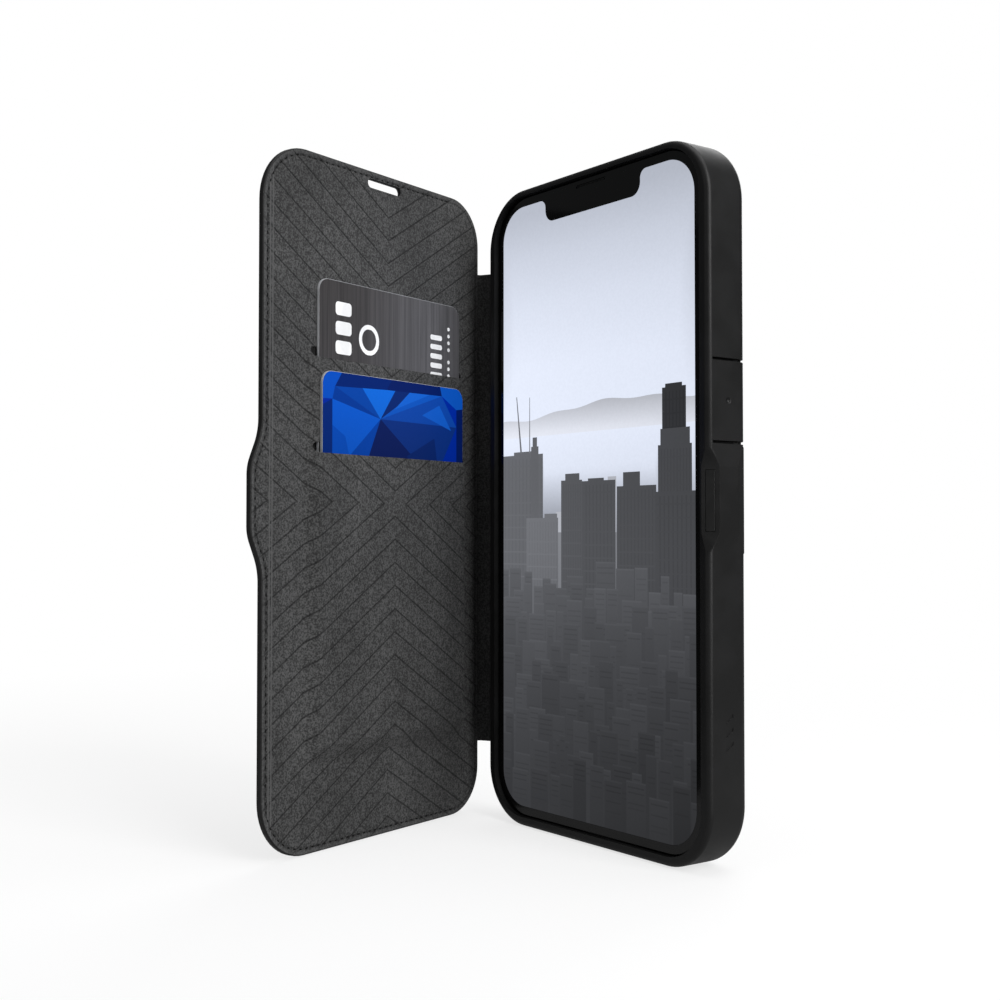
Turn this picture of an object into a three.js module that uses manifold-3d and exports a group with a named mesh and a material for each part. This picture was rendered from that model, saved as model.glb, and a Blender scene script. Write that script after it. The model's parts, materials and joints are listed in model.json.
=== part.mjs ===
// A folio phone wallet case that stands open like a book, with a phone and two cards in it.
// Millimetres, Z up. The group's origin is the middle of the bottom of its bounding box.
//
// Three local frames are used, all with Z along the height:
//   shell: X across the phone, Y into the phone (0 at the screen glass), Z = 0 at the screen's middle
//   spine: X from the shell's hinge line to the cover's, Y = 0 on the inner face and negative outwards
//   cover: X from its hinge line to the free edge, Y = 0 on the inner face and negative outwards
import * as THREE from "three";
import { mergeVertices } from "three/addons/utils/BufferGeometryUtils.js";
import Module from "manifold-3d";

const wasm = await Module();
wasm.setup();

// ---- driving dimensions ------------------------------------------------------------------------
const GAP = 0.05; // between layers that are glued or laid on each other
const FLOOR = -80.6; // where the shell and the cover both stand

const PHONE = { halfW: 37.35, halfH: 78.15, radius: 11, back: 7.9 };
const GLASS = { inset: 1, thick: 0.8 };
const DISPLAY = { halfW: 35.05, halfH: 75.85, radius: 8.5, notchHalfW: 17.5, notchDepth: 5.7 };
const CAVITY = { halfW: 37.5, halfH: 78.3, radius: 11.15 };
const SHELL = { halfW: 40.2, top: 80, radius: 14, front: -1.15, back: 10.85 };
const ROUND = { front: 2, back: 2.4 }; // the shell's long outside edges
const PLATE = { inset: 1.35, front: 8.5, back: 10 };
const PANEL = { halfW: 36.9, top: 76.9, bottom: -77.5, radius: 10.8 };
const CAMERA = { x: 17.9, z: 57.6, halfW: 15.4, halfH: 16.15, radius: 7 };
const LENSES = [
  [-6.6, 7],
  [-6.6, -7.2],
  [7, 0],
];
const POWER = { bottom: 12, top: 30.6, gap: 0.5, dimpleZ: 21.4, dimpleY: 4.9, dimpleR: 0.65 };
const VOLUME = { up: 33.5, down: 19.5, length: 11.5, width: 3.8, y: 4.3 };
const PAD = { inner: 38.9, recess: 38.25, proud: 0.25 };
const LATCH = { x0: 38, x1: 40.65, y1: 1.5, top: 7.2, bottom: -7.3, slopeTop: 11.8, slopeBottom: -12.1 };
const KEEPER = { width: 2, thick: 0.7, halfH: 6.6, z: -0.3 };
const PORT = { halfW: 7.5, y0: 1.1, y1: 6.9, corner: 1, speakerX: 19, speakerHalfW: 6, speakerHalfY: 1.7 };

const SPINE = { x: -40.6, y: 10.05, width: 12.5, halfH: 62.7, angle: 210.1 };
const FOLD = { panel: 1.1, spineStart: 1, spineEnd: 2, cover: 0.3 }; // bare leather beside the hinges
const SPINE_LAYERS = { lining: 0.5, board: 0.3, skin: 0.5 };

const COVER = { width: 81.2, top: 81.3, hingeRadius: 11.5, freeRadius: 14, angle: -71.5 };
const TAB = { reach: 3.5, flat: 6.5, root: 15.4 };
const LAYERS = { liner: 0.6, rim: 1.2, crown: 2.3, board: 1.65 };
const POCKET = { x0: 7.6, x1: 67.8, z0: -57.2, radius: 3 };
const CARD = { width: 54, height: 85.6, thick: 0.76, radius: 3.18, x: 9.9 };
const CARD_TOP = { upper: 52.3, lower: 30.6 };
const CARD_BACK = { upper: 0.04, lower: 1.2 };
const SLOT_EDGE = { upper: 33.6, lower: 11.35 }; // where each pocket panel starts
const POCKET_FACE = { upper: 0.85, lower: 2.01, thick: 0.3 };
const SKIRT = { hinge: 1.2, free: 1.6, foot: 1.1 };
const SEAM = { inset: 1.3, width: 0.45, start: 11 };
const EARPIECE_SLOT = { x: 39.5, z: 78.3, width: 12.6, height: 2.3 };

const FINISH = {
  rubber: { color: 0x1b1b1d, roughness: 0.62, metalness: 0 },
  leather: { color: 0x19191b, roughness: 0.68, metalness: 0 },
  liner: { color: 0x2f3032, roughness: 0.95, metalness: 0 },
  board: { color: 0x6f675c, roughness: 0.9, metalness: 0 },
  plate: { color: 0x242628, roughness: 0.45, metalness: 0 },
  steel: { color: 0x2a2b2e, roughness: 0.4, metalness: 0.9 },
  thread: { color: 0x0d0d0e, roughness: 0.85, metalness: 0 },
  frame: { color: 0x3b3d42, roughness: 0.3, metalness: 0.9 },
  glass: { color: 0x050507, roughness: 0.08, metalness: 0 },
  backGlass: { color: 0x2b3036, roughness: 0.35, metalness: 0 },
  display: { color: 0xa9b1c4, roughness: 0.12, metalness: 0 },
  metalCard: { color: 0x4b4749, roughness: 0.35, metalness: 0.85 },
  blueCard: { color: 0x0a4fc4, roughness: 0.3, metalness: 0 },
  flash: { color: 0xe8e2cf, roughness: 0.3, metalness: 0 },
};

// ---- solids ------------------------------------------------------------------------------------
const AXES = {
  x: [new THREE.Vector3(0, 1, 0), new THREE.Vector3(0, 0, 1), new THREE.Vector3(1, 0, 0)],
  y: [new THREE.Vector3(1, 0, 0), new THREE.Vector3(0, 0, 1), new THREE.Vector3(0, -1, 0)],
  z: [new THREE.Vector3(1, 0, 0), new THREE.Vector3(0, 1, 0), new THREE.Vector3(0, 0, 1)],
};

// A closed three.js geometry as a solid that can be joined or cut.
function solidOf(geometry) {
  const bare = geometry.clone();
  bare.deleteAttribute("normal");
  bare.deleteAttribute("uv");
  const merged = mergeVertices(bare, 1e-4);
  return new wasm.Manifold(
    new wasm.Mesh({
      numProp: 3,
      vertProperties: merged.attributes.position.array,
      triVerts: new Uint32Array(merged.index.array),
    }),
  );
}

function geometryOf(solid) {
  const mesh = solid.getMesh();
  const geometry = new THREE.BufferGeometry();
  geometry.setAttribute("position", new THREE.BufferAttribute(mesh.vertProperties, 3));
  geometry.setIndex(new THREE.BufferAttribute(mesh.triVerts, 1));
  const flat = geometry.toNonIndexed();
  flat.computeVertexNormals();
  return flat;
}

function piece(name, solid, finish) {
  const mesh = new THREE.Mesh(geometryOf(solid), new THREE.MeshStandardMaterial(finish));
  mesh.name = name;
  return mesh;
}

// Points round a polygon of anticlockwise corners [x, y, radius], with an arc at each corner.
function rounded(corners, steps = 6) {
  return corners.flatMap(([x, y, radius], i) => {
    const here = new THREE.Vector2(x, y);
    const [before, after] = [corners.at(i - 1), corners[(i + 1) % corners.length]].map((c) =>
      new THREE.Vector2(c[0], c[1]).sub(here).normalize(),
    );
    const half = Math.acos(before.dot(after)) / 2;
    const reach = radius / Math.tan(half);
    const middle = before
      .clone()
      .add(after)
      .setLength(radius / Math.sin(half))
      .add(here);
    const start = here.clone().addScaledVector(before, reach).sub(middle).angle();
    const end = here.clone().addScaledVector(after, reach).sub(middle).angle();
    const turn = THREE.MathUtils.euclideanModulo(end - start + Math.PI, 2 * Math.PI) - Math.PI;
    return Array.from({ length: steps + 1 }, (_, k) => {
      const at = start + (turn * k) / steps;
      return new THREE.Vector2(middle.x + radius * Math.cos(at), middle.y + radius * Math.sin(at));
    });
  });
}

function rect(x0, x1, y0, y1, radius, steps) {
  const corners = [
    [x0, y0, radius],
    [x1, y0, radius],
    [x1, y1, radius],
    [x0, y1, radius],
  ];
  return rounded(corners, steps);
}

// An outline run along one axis. Along x the outline is in (y, z), along y in (x, z), along z in (x, y).
function prism(points, from, to, axis = "y") {
  const geometry = new THREE.ExtrudeGeometry(new THREE.Shape(points), {
    depth: to - from,
    bevelEnabled: false,
  });
  const basis = new THREE.Matrix4().makeBasis(...AXES[axis]);
  const start = { x: [from, 0, 0], y: [0, to, 0], z: [0, 0, from] }[axis];
  return solidOf(geometry.applyMatrix4(basis.setPosition(...start)));
}

function box(x0, x1, y0, y1, z0, z1) {
  const geometry = new THREE.BoxGeometry(x1 - x0, y1 - y0, z1 - z0);
  return solidOf(geometry.translate((x0 + x1) / 2, (y0 + y1) / 2, (z0 + z1) / 2));
}

// The triangles that fill an outline, all anticlockwise.
function filled(points) {
  return THREE.ShapeUtils.triangulateShape(points, []).map(([a, b, c]) => {
    const twice = THREE.ShapeUtils.area([points[a], points[b], points[c]]);
    return twice > 0 ? [a, b, c] : [a, c, b];
  });
}

// A closed body through outlines in (x, z), given as [y, points] with y rising.
function loft(levels) {
  const count = levels[0][1].length;
  const last = (levels.length - 1) * count;
  const positions = levels.flatMap(([y, points]) => points.flatMap((p) => [p.x, y, p.y]));
  const index = [];
  for (let ring = 0; ring < last; ring += count) {
    for (let i = 0; i < count; i++) {
      const a = ring + i;
      const b = ring + ((i + 1) % count);
      index.push(a, b + count, b, a, a + count, b + count);
    }
  }
  filled(levels[0][1]).forEach(([a, b, c]) => index.push(a, b, c));
  filled(levels.at(-1)[1]).forEach(([a, b, c]) => index.push(last + a, last + c, last + b));
  const geometry = new THREE.BufferGeometry();
  geometry.setAttribute("position", new THREE.Float32BufferAttribute(positions, 3));
  geometry.setIndex(index);
  return solidOf(geometry);
}

// ---- shell -------------------------------------------------------------------------------------
function shellOutline(inset) {
  const { halfW, top, radius } = SHELL;
  return rect(-halfW + inset, halfW - inset, FLOOR + inset, top - inset, radius - inset, 8);
}

// The shell's outside: flat walls with both long edges rounded.
function shellBody() {
  const levels = [];
  const steps = 4;
  for (let k = 0; k <= steps; k++) {
    const at = (Math.PI / 2) * (k / steps);
    const inset = ROUND.front * (1 - Math.sin(at));
    levels.push([SHELL.front + ROUND.front * (1 - Math.cos(at)), shellOutline(inset)]);
  }
  for (let k = 0; k <= steps; k++) {
    const at = (Math.PI / 2) * (k / steps);
    const inset = ROUND.back * (1 - Math.cos(at));
    levels.push([SHELL.back - ROUND.back * (1 - Math.sin(at)), shellOutline(inset)]);
  }
  return loft(levels);
}

function panelOutline(grow) {
  const { halfW, top, bottom, radius } = PANEL;
  return rect(-halfW - grow, halfW + grow, bottom - grow, top + grow, radius + grow, 8);
}

// The chamfer cut into the right wall's front edge under the cover's tab, with its tapered ends.
function latchNotch() {
  const { x0, x1, y1, top, bottom, slopeTop, slopeBottom } = LATCH;
  const front = SHELL.front;
  const section = (share) => {
    const [fromX, toY] = [x1 - (x1 - x0) * share, front + (y1 - front) * share];
    const corners = [
      [fromX, front],
      [fromX, front - 2],
      [x1 + 2, front - 2],
      [x1 + 2, toY],
      [x1, toY],
    ];
    return corners.map(([x, y]) => new THREE.Vector2(x, y));
  };
  const levels = [
    [-slopeTop, section(0.02)],
    [-top, section(1)],
    [-bottom, section(1)],
    [-slopeBottom, section(0.02)],
  ];
  return loft(levels).rotate([-90, 0, 0]);
}

// The slight swelling of the right wall round the notch.
function latchSwelling() {
  const levels = [
    [-40.6, rect(1.6, 8.1, -6.6, 7, 0.4, 1)],
    [-40.45, rect(0.5, 9.2, -10.8, 11, 0.4, 1)],
    [-40.05, rect(0, 9.7, -12.1, 11.9, 0.4, 1)],
    [-38.6, rect(-0.8, 10.3, -12.6, 11.95, 0.4, 1)],
  ];
  return loft(levels).rotate([0, 0, 90]).mirror([0, 0, 0]);
}

// Three slanted bars low on the right wall.
function sideMark() {
  return [-44, -50, -56].map((z) => {
    const bar = [
      [3.6, z - 1.6],
      [6.2, z],
      [6.2, z + 1.6],
      [3.6, z],
    ].map(([y, at]) => new THREE.Vector2(y, at));
    return prism(bar, SHELL.halfW - 0.25, SHELL.halfW + 1, "x");
  });
}

function volumeOutline(z, grow) {
  const { length, width, y } = VOLUME;
  const [halfL, halfW] = [length / 2 + grow, width / 2 + grow];
  return rect(y - halfW, y + halfW, z - halfL, z + halfL, halfW * 0.96, 5);
}

function portCuts() {
  const { halfW, y0, y1, corner, speakerX, speakerHalfW, speakerHalfY } = PORT;
  const middle = (y0 + y1) / 2;
  const speaker = [-speakerX, speakerX].map((x) => {
    const [x0, x1] = [x - speakerHalfW, x + speakerHalfW];
    const outline = rect(x0, x1, middle - speakerHalfY, middle + speakerHalfY, speakerHalfY * 0.96, 5);
    return prism(outline, FLOOR - 1, -CAVITY.halfH + 1, "z");
  });
  const port = prism(rect(-halfW, halfW, y0, y1, corner, 3), FLOOR - 1, -CAVITY.halfH + 1, "z");
  return [port, ...speaker];
}

// The keeper plate's place, flat in the middle of the latch chamfer.
function keeperBox(grow, front = 0) {
  const { x0, x1, y1 } = LATCH;
  const { width, thick, halfH, z } = KEEPER;
  const depth = thick + grow + front;
  const geometry = new THREE.BoxGeometry(width + 2 * grow, depth, 2 * (halfH + grow));
  geometry.translate(0, depth / 2 + 0.05 - front, z);
  geometry.rotateZ(Math.atan2(y1 - SHELL.front, x1 - x0));
  return solidOf(geometry.translate((x0 + x1) / 2, (SHELL.front + y1) / 2, 0));
}

function bumperFrame() {
  const { halfW, halfH, radius } = CAVITY;
  const wall = 63.3;
  const cuts = [
    prism(rect(-halfW, halfW, -halfH, halfH, radius, 8), SHELL.front - 1, PLATE.front),
    prism(shellOutline(PLATE.inset - GAP), PLATE.front - GAP, PLATE.back + GAP),
    prism(panelOutline(0.1), PLATE.back, SHELL.back + 1),
    box(-SHELL.halfW - 1, -PANEL.halfW, PLATE.back, SHELL.back + 1, -wall, wall),
    box(PAD.recess, SHELL.halfW + 1, SHELL.front - 1, SHELL.back + 1, POWER.bottom, POWER.top),
    prism(volumeOutline(VOLUME.up, 0.2), -SHELL.halfW - 1, -PAD.recess, "x"),
    prism(volumeOutline(VOLUME.down, 0.2), -SHELL.halfW - 1, -PAD.recess, "x"),
    latchNotch(),
    keeperBox(GAP, 1),
    ...portCuts(),
    ...sideMark(),
  ];
  const body = cuts.reduce((left, cut) => left.subtract(cut), shellBody().add(latchSwelling()));
  return piece("bumper_frame", body, FINISH.rubber);
}

function cameraHole(grow, from, to) {
  const { x, z, halfW, halfH, radius } = CAMERA;
  const outline = rect(x - halfW - grow, x + halfW + grow, z - halfH - grow, z + halfH + grow, radius + grow);
  return prism(outline, from, to);
}

function backPlate() {
  const plate = prism(shellOutline(PLATE.inset), PLATE.front, PLATE.back)
    .subtract(box(PAD.recess - GAP, SHELL.halfW, 8, 11, POWER.bottom - GAP, POWER.top + GAP))
    .subtract(cameraHole(1.5, 8, 11));
  return piece("back_plate", plate, FINISH.plate);
}

function shellLining() {
  const { halfW, halfH, radius } = PHONE;
  const sheet = prism(rect(-halfW, halfW, -halfH, halfH, radius, 8), PHONE.back + GAP, PLATE.front - GAP);
  return piece("shell_lining", sheet.subtract(cameraHole(1.5, 7, 9)), FINISH.liner);
}

function backPanel() {
  const flap = box(SPINE.x + FOLD.panel, -30, SPINE.y, SHELL.back, -SPINE.halfH, SPINE.halfH);
  const panel = prism(panelOutline(0), SPINE.y, SHELL.back).add(flap);
  return piece("back_panel", panel.subtract(cameraHole(2.75, 9, 12)), FINISH.leather);
}

function cameraGuard() {
  const { x, z, halfW, halfH, radius } = CAMERA;
  const outline = (grow) =>
    rect(x - halfW - grow, x + halfW + grow, z - halfH - grow, z + halfH + grow, radius + grow);
  const ring = loft([
    [PLATE.front, outline(1.4)],
    [PLATE.back + GAP, outline(1.4)],
    [PLATE.back + GAP, outline(2.6)],
    [11.4, outline(2.6)],
    [11.8, outline(2.3)],
    [12, outline(1.8)],
  ]);
  return piece("camera_guard", ring.subtract(cameraHole(0.5, 8, 13)), FINISH.rubber);
}

function latchKeeper() {
  return piece("latch_keeper", keeperBox(0), FINISH.steel);
}

function powerPad() {
  const { bottom, top, gap, dimpleZ, dimpleY, dimpleR } = POWER;
  const slice = box(PAD.inner, SHELL.halfW + 1, -5, 15, bottom + gap, top - gap);
  const dimple = new THREE.CylinderGeometry(dimpleR, dimpleR * 0.5, 0.6, 14);
  dimple.rotateZ(-Math.PI / 2).translate(SHELL.halfW - 0.1, dimpleY, dimpleZ);
  return piece("power_button_pad", shellBody().intersect(slice).subtract(solidOf(dimple)), FINISH.rubber);
}

function volumePad(name, z) {
  const outer = -SHELL.halfW - PAD.proud;
  const pad = prism(volumeOutline(z, 0), outer + 0.3, -PAD.inner, "x");
  const crown = prism(volumeOutline(z, -0.35), outer, outer + 0.4, "x");
  return piece(name, pad.add(crown), FINISH.rubber);
}

// ---- phone -------------------------------------------------------------------------------------
function phoneOutline(inset) {
  const { halfW, halfH, radius } = PHONE;
  return rect(-halfW + inset, halfW - inset, -halfH + inset, halfH - inset, radius - inset, 8);
}

function displayOutline(inset) {
  const { halfW, halfH, radius, notchHalfW, notchDepth } = DISPLAY;
  const [x, z, r] = [halfW - inset, halfH - inset, radius - inset];
  const [notchX, notchZ] = [notchHalfW + inset, halfH - notchDepth - inset];
  const corners = [
    [-x, -z, r],
    [x, -z, r],
    [x, z, r],
    [notchX, z, 2],
    [notchX, notchZ, 3],
    [-notchX, notchZ, 3],
    [-notchX, z, 2],
    [-x, z, r],
  ];
  return rounded(corners, 6);
}

function phoneFrame() {
  const body = loft([
    [0.12, phoneOutline(0.3)],
    [0.4, phoneOutline(0)],
    [7.5, phoneOutline(0)],
    [PHONE.back - 0.12, phoneOutline(0.3)],
  ]);
  const cuts = [
    prism(phoneOutline(GLASS.inset - GAP), -1, GLASS.thick + GAP),
    prism(phoneOutline(GLASS.inset - GAP), PHONE.back - GLASS.thick - GAP, 9),
    prism(rect(-4.4, 4.4, 2.65, 5.35, 1.3, 5), -PHONE.halfH - 1, -PHONE.halfH + 6, "z"),
  ];
  return piece("phone_frame", cuts.reduce((left, cut) => left.subtract(cut), body), FINISH.frame);
}

function earpieceOutline(grow) {
  return rect(-5.4 - grow, 5.4 + grow, 76.1 - grow, 76.8 + grow, 0.33 + grow, 4);
}

function frontGlass() {
  const sheet = prism(phoneOutline(GLASS.inset), 0, GLASS.thick)
    .subtract(prism(displayOutline(-GAP), -1, 2))
    .subtract(prism(earpieceOutline(GAP), -1, 2));
  return piece("phone_front_glass", sheet, FINISH.glass);
}

function display() {
  return piece("phone_display", prism(displayOutline(0), 0.02, GLASS.thick), FINISH.display);
}

function earpiece() {
  return piece("phone_earpiece", prism(earpieceOutline(0), 0.2, GLASS.thick), FINISH.steel);
}

function backGlass() {
  const sheet = prism(phoneOutline(GLASS.inset), PHONE.back - GLASS.thick, PHONE.back);
  return piece("phone_back_glass", sheet, FINISH.backGlass);
}

function cameraPlateau() {
  const { x, z, halfW, halfH, radius } = CAMERA;
  const outline = (inset) =>
    rect(x - halfW + inset, x + halfW - inset, z - halfH + inset, z + halfH - inset, radius - inset);
  const body = loft([
    [PHONE.back + GAP, outline(0)],
    [9.1, outline(0)],
    [9.4, outline(0.4)],
  ]);
  return piece("camera_plateau", body, FINISH.backGlass);
}

// A body turned about the Y axis from a closed profile of [radius, y].
function turned(profile, x, z, segments = 20) {
  const points = profile.map(([r, y]) => new THREE.Vector2(r, y));
  const geometry = new THREE.LatheGeometry([...points, points[0]], segments);
  return solidOf(geometry.translate(x, 0, z));
}

function lens(number, dx, dz) {
  const [x, z] = [CAMERA.x + dx, CAMERA.z + dz];
  const ringProfile = [
    [4.6, 9.45],
    [5.9, 9.45],
    [5.9, 10.7],
    [5.6, 10.95],
    [4.9, 10.95],
    [4.6, 10.7],
  ];
  const glassProfile = [
    [0, 9.45],
    [4.5, 9.45],
    [4.5, 10.4],
    [3.2, 10.6],
    [0, 10.7],
  ];
  return [
    piece(`lens_${number}_ring`, turned(ringProfile, x, z), FINISH.frame),
    piece(`lens_${number}_glass`, turned(glassProfile, x, z), FINISH.glass),
  ];
}

function flash() {
  const profile = [
    [0, 9.45],
    [2.4, 9.45],
    [2.4, 9.7],
    [0, 9.8],
  ];
  return piece("camera_flash", turned(profile, CAMERA.x + 7, CAMERA.z + 11.3, 16), FINISH.flash);
}

// ---- spine -------------------------------------------------------------------------------------
function spineStrip(name, front, thick, inset, finish) {
  const { width, halfH } = SPINE;
  const [x0, x1] = [FOLD.spineStart + inset, width - FOLD.spineEnd - inset];
  const outline = rect(x0, x1, -halfH + inset, halfH - inset, 0.6, 2);
  return piece(name, prism(outline, front - thick, front), finish);
}

function spinePieces() {
  const { lining, board, skin } = SPINE_LAYERS;
  return [
    spineStrip("spine_lining", 0, lining, 0, FINISH.liner),
    spineStrip("spine_board", -lining - GAP, board, 0.6, FINISH.board),
    spineStrip("spine_skin", -lining - board - 2 * GAP, skin, 0, FINISH.leather),
  ];
}

// ---- cover -------------------------------------------------------------------------------------
function coverOutline(inset) {
  const { width, top, hingeRadius, freeRadius } = COVER;
  const slope = Math.tan(Math.atan2(TAB.reach, TAB.root - TAB.flat) / 2) * inset;
  const [x0, x1] = [FOLD.cover + inset, width - inset];
  const [z0, z1] = [FLOOR + inset, top - inset];
  const [root, flat] = [TAB.root - slope, TAB.flat - slope];
  const corners = [
    [x0, z0, hingeRadius - inset],
    [x1, z0, freeRadius - inset],
    [x1, -root, 7],
    [x1 + TAB.reach, -flat, 4],
    [x1 + TAB.reach, flat, 4],
    [x1, root, 7],
    [x1, z1, freeRadius - inset],
    [x0, z1, hingeRadius - inset],
  ];
  return rounded(corners, 7);
}

function earpieceSlot() {
  const { x, z, width, height } = EARPIECE_SLOT;
  const [halfW, halfH] = [width / 2, height / 2];
  return prism(rect(x - halfW, x + halfW, z - halfH, z + halfH, halfH * 0.97, 5), -5, 5);
}

function boardOutline(grow) {
  return rect(3.5 - grow, 74.8 + grow, FLOOR + 3.5 - grow, 75.6 + grow, 8 + grow);
}

function magnetOutline(grow) {
  return rect(75.6 - grow, 83 + grow, -5 - grow, 5 + grow, 0.8);
}

function coverSkin() {
  const { liner, rim, crown, board } = LAYERS;
  const body = loft([
    [-crown, coverOutline(7.5)],
    [-crown + 0.12, coverOutline(4.5)],
    [-crown + 0.35, coverOutline(2)],
    [-rim - 0.35, coverOutline(0.5)],
    [-rim, coverOutline(0)],
    [-liner - GAP, coverOutline(0)],
  ]);
  const skin = body
    .subtract(prism(boardOutline(GAP), -board - GAP, 0))
    .subtract(prism(magnetOutline(GAP), -board + 0.1 - GAP, 0))
    .subtract(earpieceSlot());
  return piece("cover_skin", skin, FINISH.leather);
}

function coverBoard() {
  const { liner, board } = LAYERS;
  return piece("cover_board", prism(boardOutline(0), -board, -liner - GAP), FINISH.board);
}

function seamOutline(grow) {
  const half = SEAM.width / 2 + grow;
  const keep = box(SEAM.start - grow, 100, -5, 5, -100, 100);
  return { outer: coverOutline(SEAM.inset - half), inner: coverOutline(SEAM.inset + half), keep };
}

function seamLoop(grow, from, to) {
  const { outer, inner, keep } = seamOutline(grow);
  return prism(outer, from, to).subtract(prism(inner, from - 1, to + 1)).intersect(keep);
}

function coverLiner() {
  const sheet = prism(coverOutline(0.25), -LAYERS.liner, 0)
    .subtract(seamLoop(0.05, -0.35, 1))
    .subtract(earpieceSlot());
  return piece("cover_liner", sheet, FINISH.liner);
}

function edgeSeam() {
  return piece("edge_stitching", seamLoop(0, -0.3, 0), FINISH.thread);
}

// A pocket panel: a sheet on three low skirts, open at the top where the card goes in.
function pocketPanel(name, top, back, foot) {
  const { x0, x1, z0, radius } = POCKET;
  const front = back + POCKET_FACE.thick;
  const hollow = box(x0 + SKIRT.hinge, x1 - SKIRT.free, foot - 1, back, z0 + SKIRT.foot, top + 1);
  const body = prism(rect(x0, x1, z0, top, radius), foot, front);
  return piece(name, body.subtract(hollow), FINISH.liner);
}

function tabMagnet() {
  const { liner, board } = LAYERS;
  return piece("tab_magnet", prism(magnetOutline(0), -board + 0.1, -liner - GAP), FINISH.steel);
}

function card(name, top, back, finish) {
  const { width, height, thick, radius, x } = CARD;
  const body = prism(rect(x, x + width, top - height, top, radius, 5), back, back + thick);
  return piece(name, body, finish);
}

function coverPieces() {
  const upperFoot = 0.03;
  const lowerFoot = POCKET_FACE.upper + POCKET_FACE.thick + 0.03;
  return [
    coverSkin(),
    coverBoard(),
    coverLiner(),
    edgeSeam(),
    tabMagnet(),
    pocketPanel("pocket_panel_upper", SLOT_EDGE.upper, POCKET_FACE.upper, upperFoot),
    pocketPanel("pocket_panel_lower", SLOT_EDGE.lower, POCKET_FACE.lower, lowerFoot),
    card("card_upper", CARD_TOP.upper, CARD_BACK.upper, FINISH.metalCard),
    card("card_lower", CARD_TOP.lower, CARD_BACK.lower, FINISH.blueCard),
  ];
}

// ---- assembly ----------------------------------------------------------------------------------
function group(name, pieces) {
  const made = new THREE.Group();
  made.name = name;
  made.add(...pieces);
  return made;
}

function shellPieces() {
  return [
    bumperFrame(),
    backPlate(),
    shellLining(),
    backPanel(),
    cameraGuard(),
    latchKeeper(),
    powerPad(),
    volumePad("volume_up_pad", VOLUME.up),
    volumePad("volume_down_pad", VOLUME.down),
  ];
}

function phonePieces() {
  return [
    phoneFrame(),
    frontGlass(),
    display(),
    earpiece(),
    backGlass(),
    cameraPlateau(),
    ...LENSES.flatMap(([x, z], i) => lens(i + 1, x, z)),
    flash(),
  ];
}

const cover = group("cover", coverPieces());
const spine = group("spine", [...spinePieces(), cover]);
const shell = group("shell", [...shellPieces(), group("phone", phonePieces()), spine]);
spine.position.set(SPINE.x, SPINE.y, 0);
spine.rotation.z = THREE.MathUtils.degToRad(SPINE.angle);
cover.position.set(SPINE.width, 0, 0);
cover.rotation.z = THREE.MathUtils.degToRad(COVER.angle - SPINE.angle);

const part = group("phone_wallet_case", [shell]);
const bounds = new THREE.Box3().setFromObject(part, true);
const middle = bounds.getCenter(new THREE.Vector3());
shell.position.set(-middle.x, -middle.y, -bounds.min.z);

export default part;
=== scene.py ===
# The looks of a folio phone wallet case that stands open, with a phone and two cards in it.
# Shapes are written in millimetres in three local frames, the same as the CAD's:
#   shell: x across the phone, y into it from the screen glass, z up from the screen's middle
#   spine: along the folding path, from the shell's hinge line
#   cover: s from its hinge line to the free edge, n off the inner face, v along the height
import json
import math

import bmesh
import bpy
import numpy as np
from mathutils import Matrix, Vector
from mathutils.geometry import delaunay_2d_cdt

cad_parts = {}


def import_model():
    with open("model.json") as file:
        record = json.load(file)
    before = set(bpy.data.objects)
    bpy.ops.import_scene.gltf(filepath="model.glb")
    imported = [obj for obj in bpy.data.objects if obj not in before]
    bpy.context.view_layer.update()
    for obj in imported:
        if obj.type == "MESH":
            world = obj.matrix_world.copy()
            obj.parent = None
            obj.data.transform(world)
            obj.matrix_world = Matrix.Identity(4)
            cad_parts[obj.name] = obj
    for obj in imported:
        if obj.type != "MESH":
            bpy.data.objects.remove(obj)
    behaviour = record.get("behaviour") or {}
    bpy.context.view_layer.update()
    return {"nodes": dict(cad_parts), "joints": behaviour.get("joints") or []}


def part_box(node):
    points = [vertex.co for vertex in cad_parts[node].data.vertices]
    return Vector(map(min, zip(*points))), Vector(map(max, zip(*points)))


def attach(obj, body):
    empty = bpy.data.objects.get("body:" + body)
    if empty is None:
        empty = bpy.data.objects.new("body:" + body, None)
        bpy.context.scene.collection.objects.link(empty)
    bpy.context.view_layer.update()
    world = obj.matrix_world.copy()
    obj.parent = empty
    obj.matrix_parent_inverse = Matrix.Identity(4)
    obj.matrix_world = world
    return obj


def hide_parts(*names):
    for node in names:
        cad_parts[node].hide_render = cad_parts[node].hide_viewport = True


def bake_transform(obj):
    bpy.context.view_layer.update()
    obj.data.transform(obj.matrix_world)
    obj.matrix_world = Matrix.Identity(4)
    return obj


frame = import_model()
MM = 0.001
PLAY = 0.05  # room round a piece in the place cut for it
BEVEL = dict(segments=3, sharper=38)

# ---- driving dimensions --------------------
FLOOR = -80.6
PHONE = dict(half_w=37.35, half_h=78.15, radius=11, back=7.9)
GLASS = dict(inset=0.3, thick=0.8)
DISPLAY = dict(half_w=35.05, half_h=75.85, radius=8.5, notch_half_w=17.5, notch_depth=5.7)
CAVITY = dict(half_w=37.5, half_h=78.3, radius=11.15)
SHELL = dict(half_w=40.2, top=80, radius=14, front=-1.15, back=10.85)
ROUND = dict(front=1.3, back=2.4)
PLATE = dict(inset=1.35, front=8.5, back=10)
PANEL = dict(half_w=36.9, top=76.9, bottom=-77.5, radius=10.8)
CAMERA = dict(x=17.9, z=57.6, half_w=15.4, half_h=16.15, radius=7)
LENSES = [(-6.6, 7), (-6.6, -7.2), (7, 0)]
POWER = dict(bottom=12, top=30.6, gap=0.6, front=0.15, proud=0.03, dimple_z=21.4, dimple_y=4.9)
VOLUME = dict(levels={"volume_up": 33.5, "volume_down": 19.5}, length=11.5, width=3.8, y=4.3)
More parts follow.
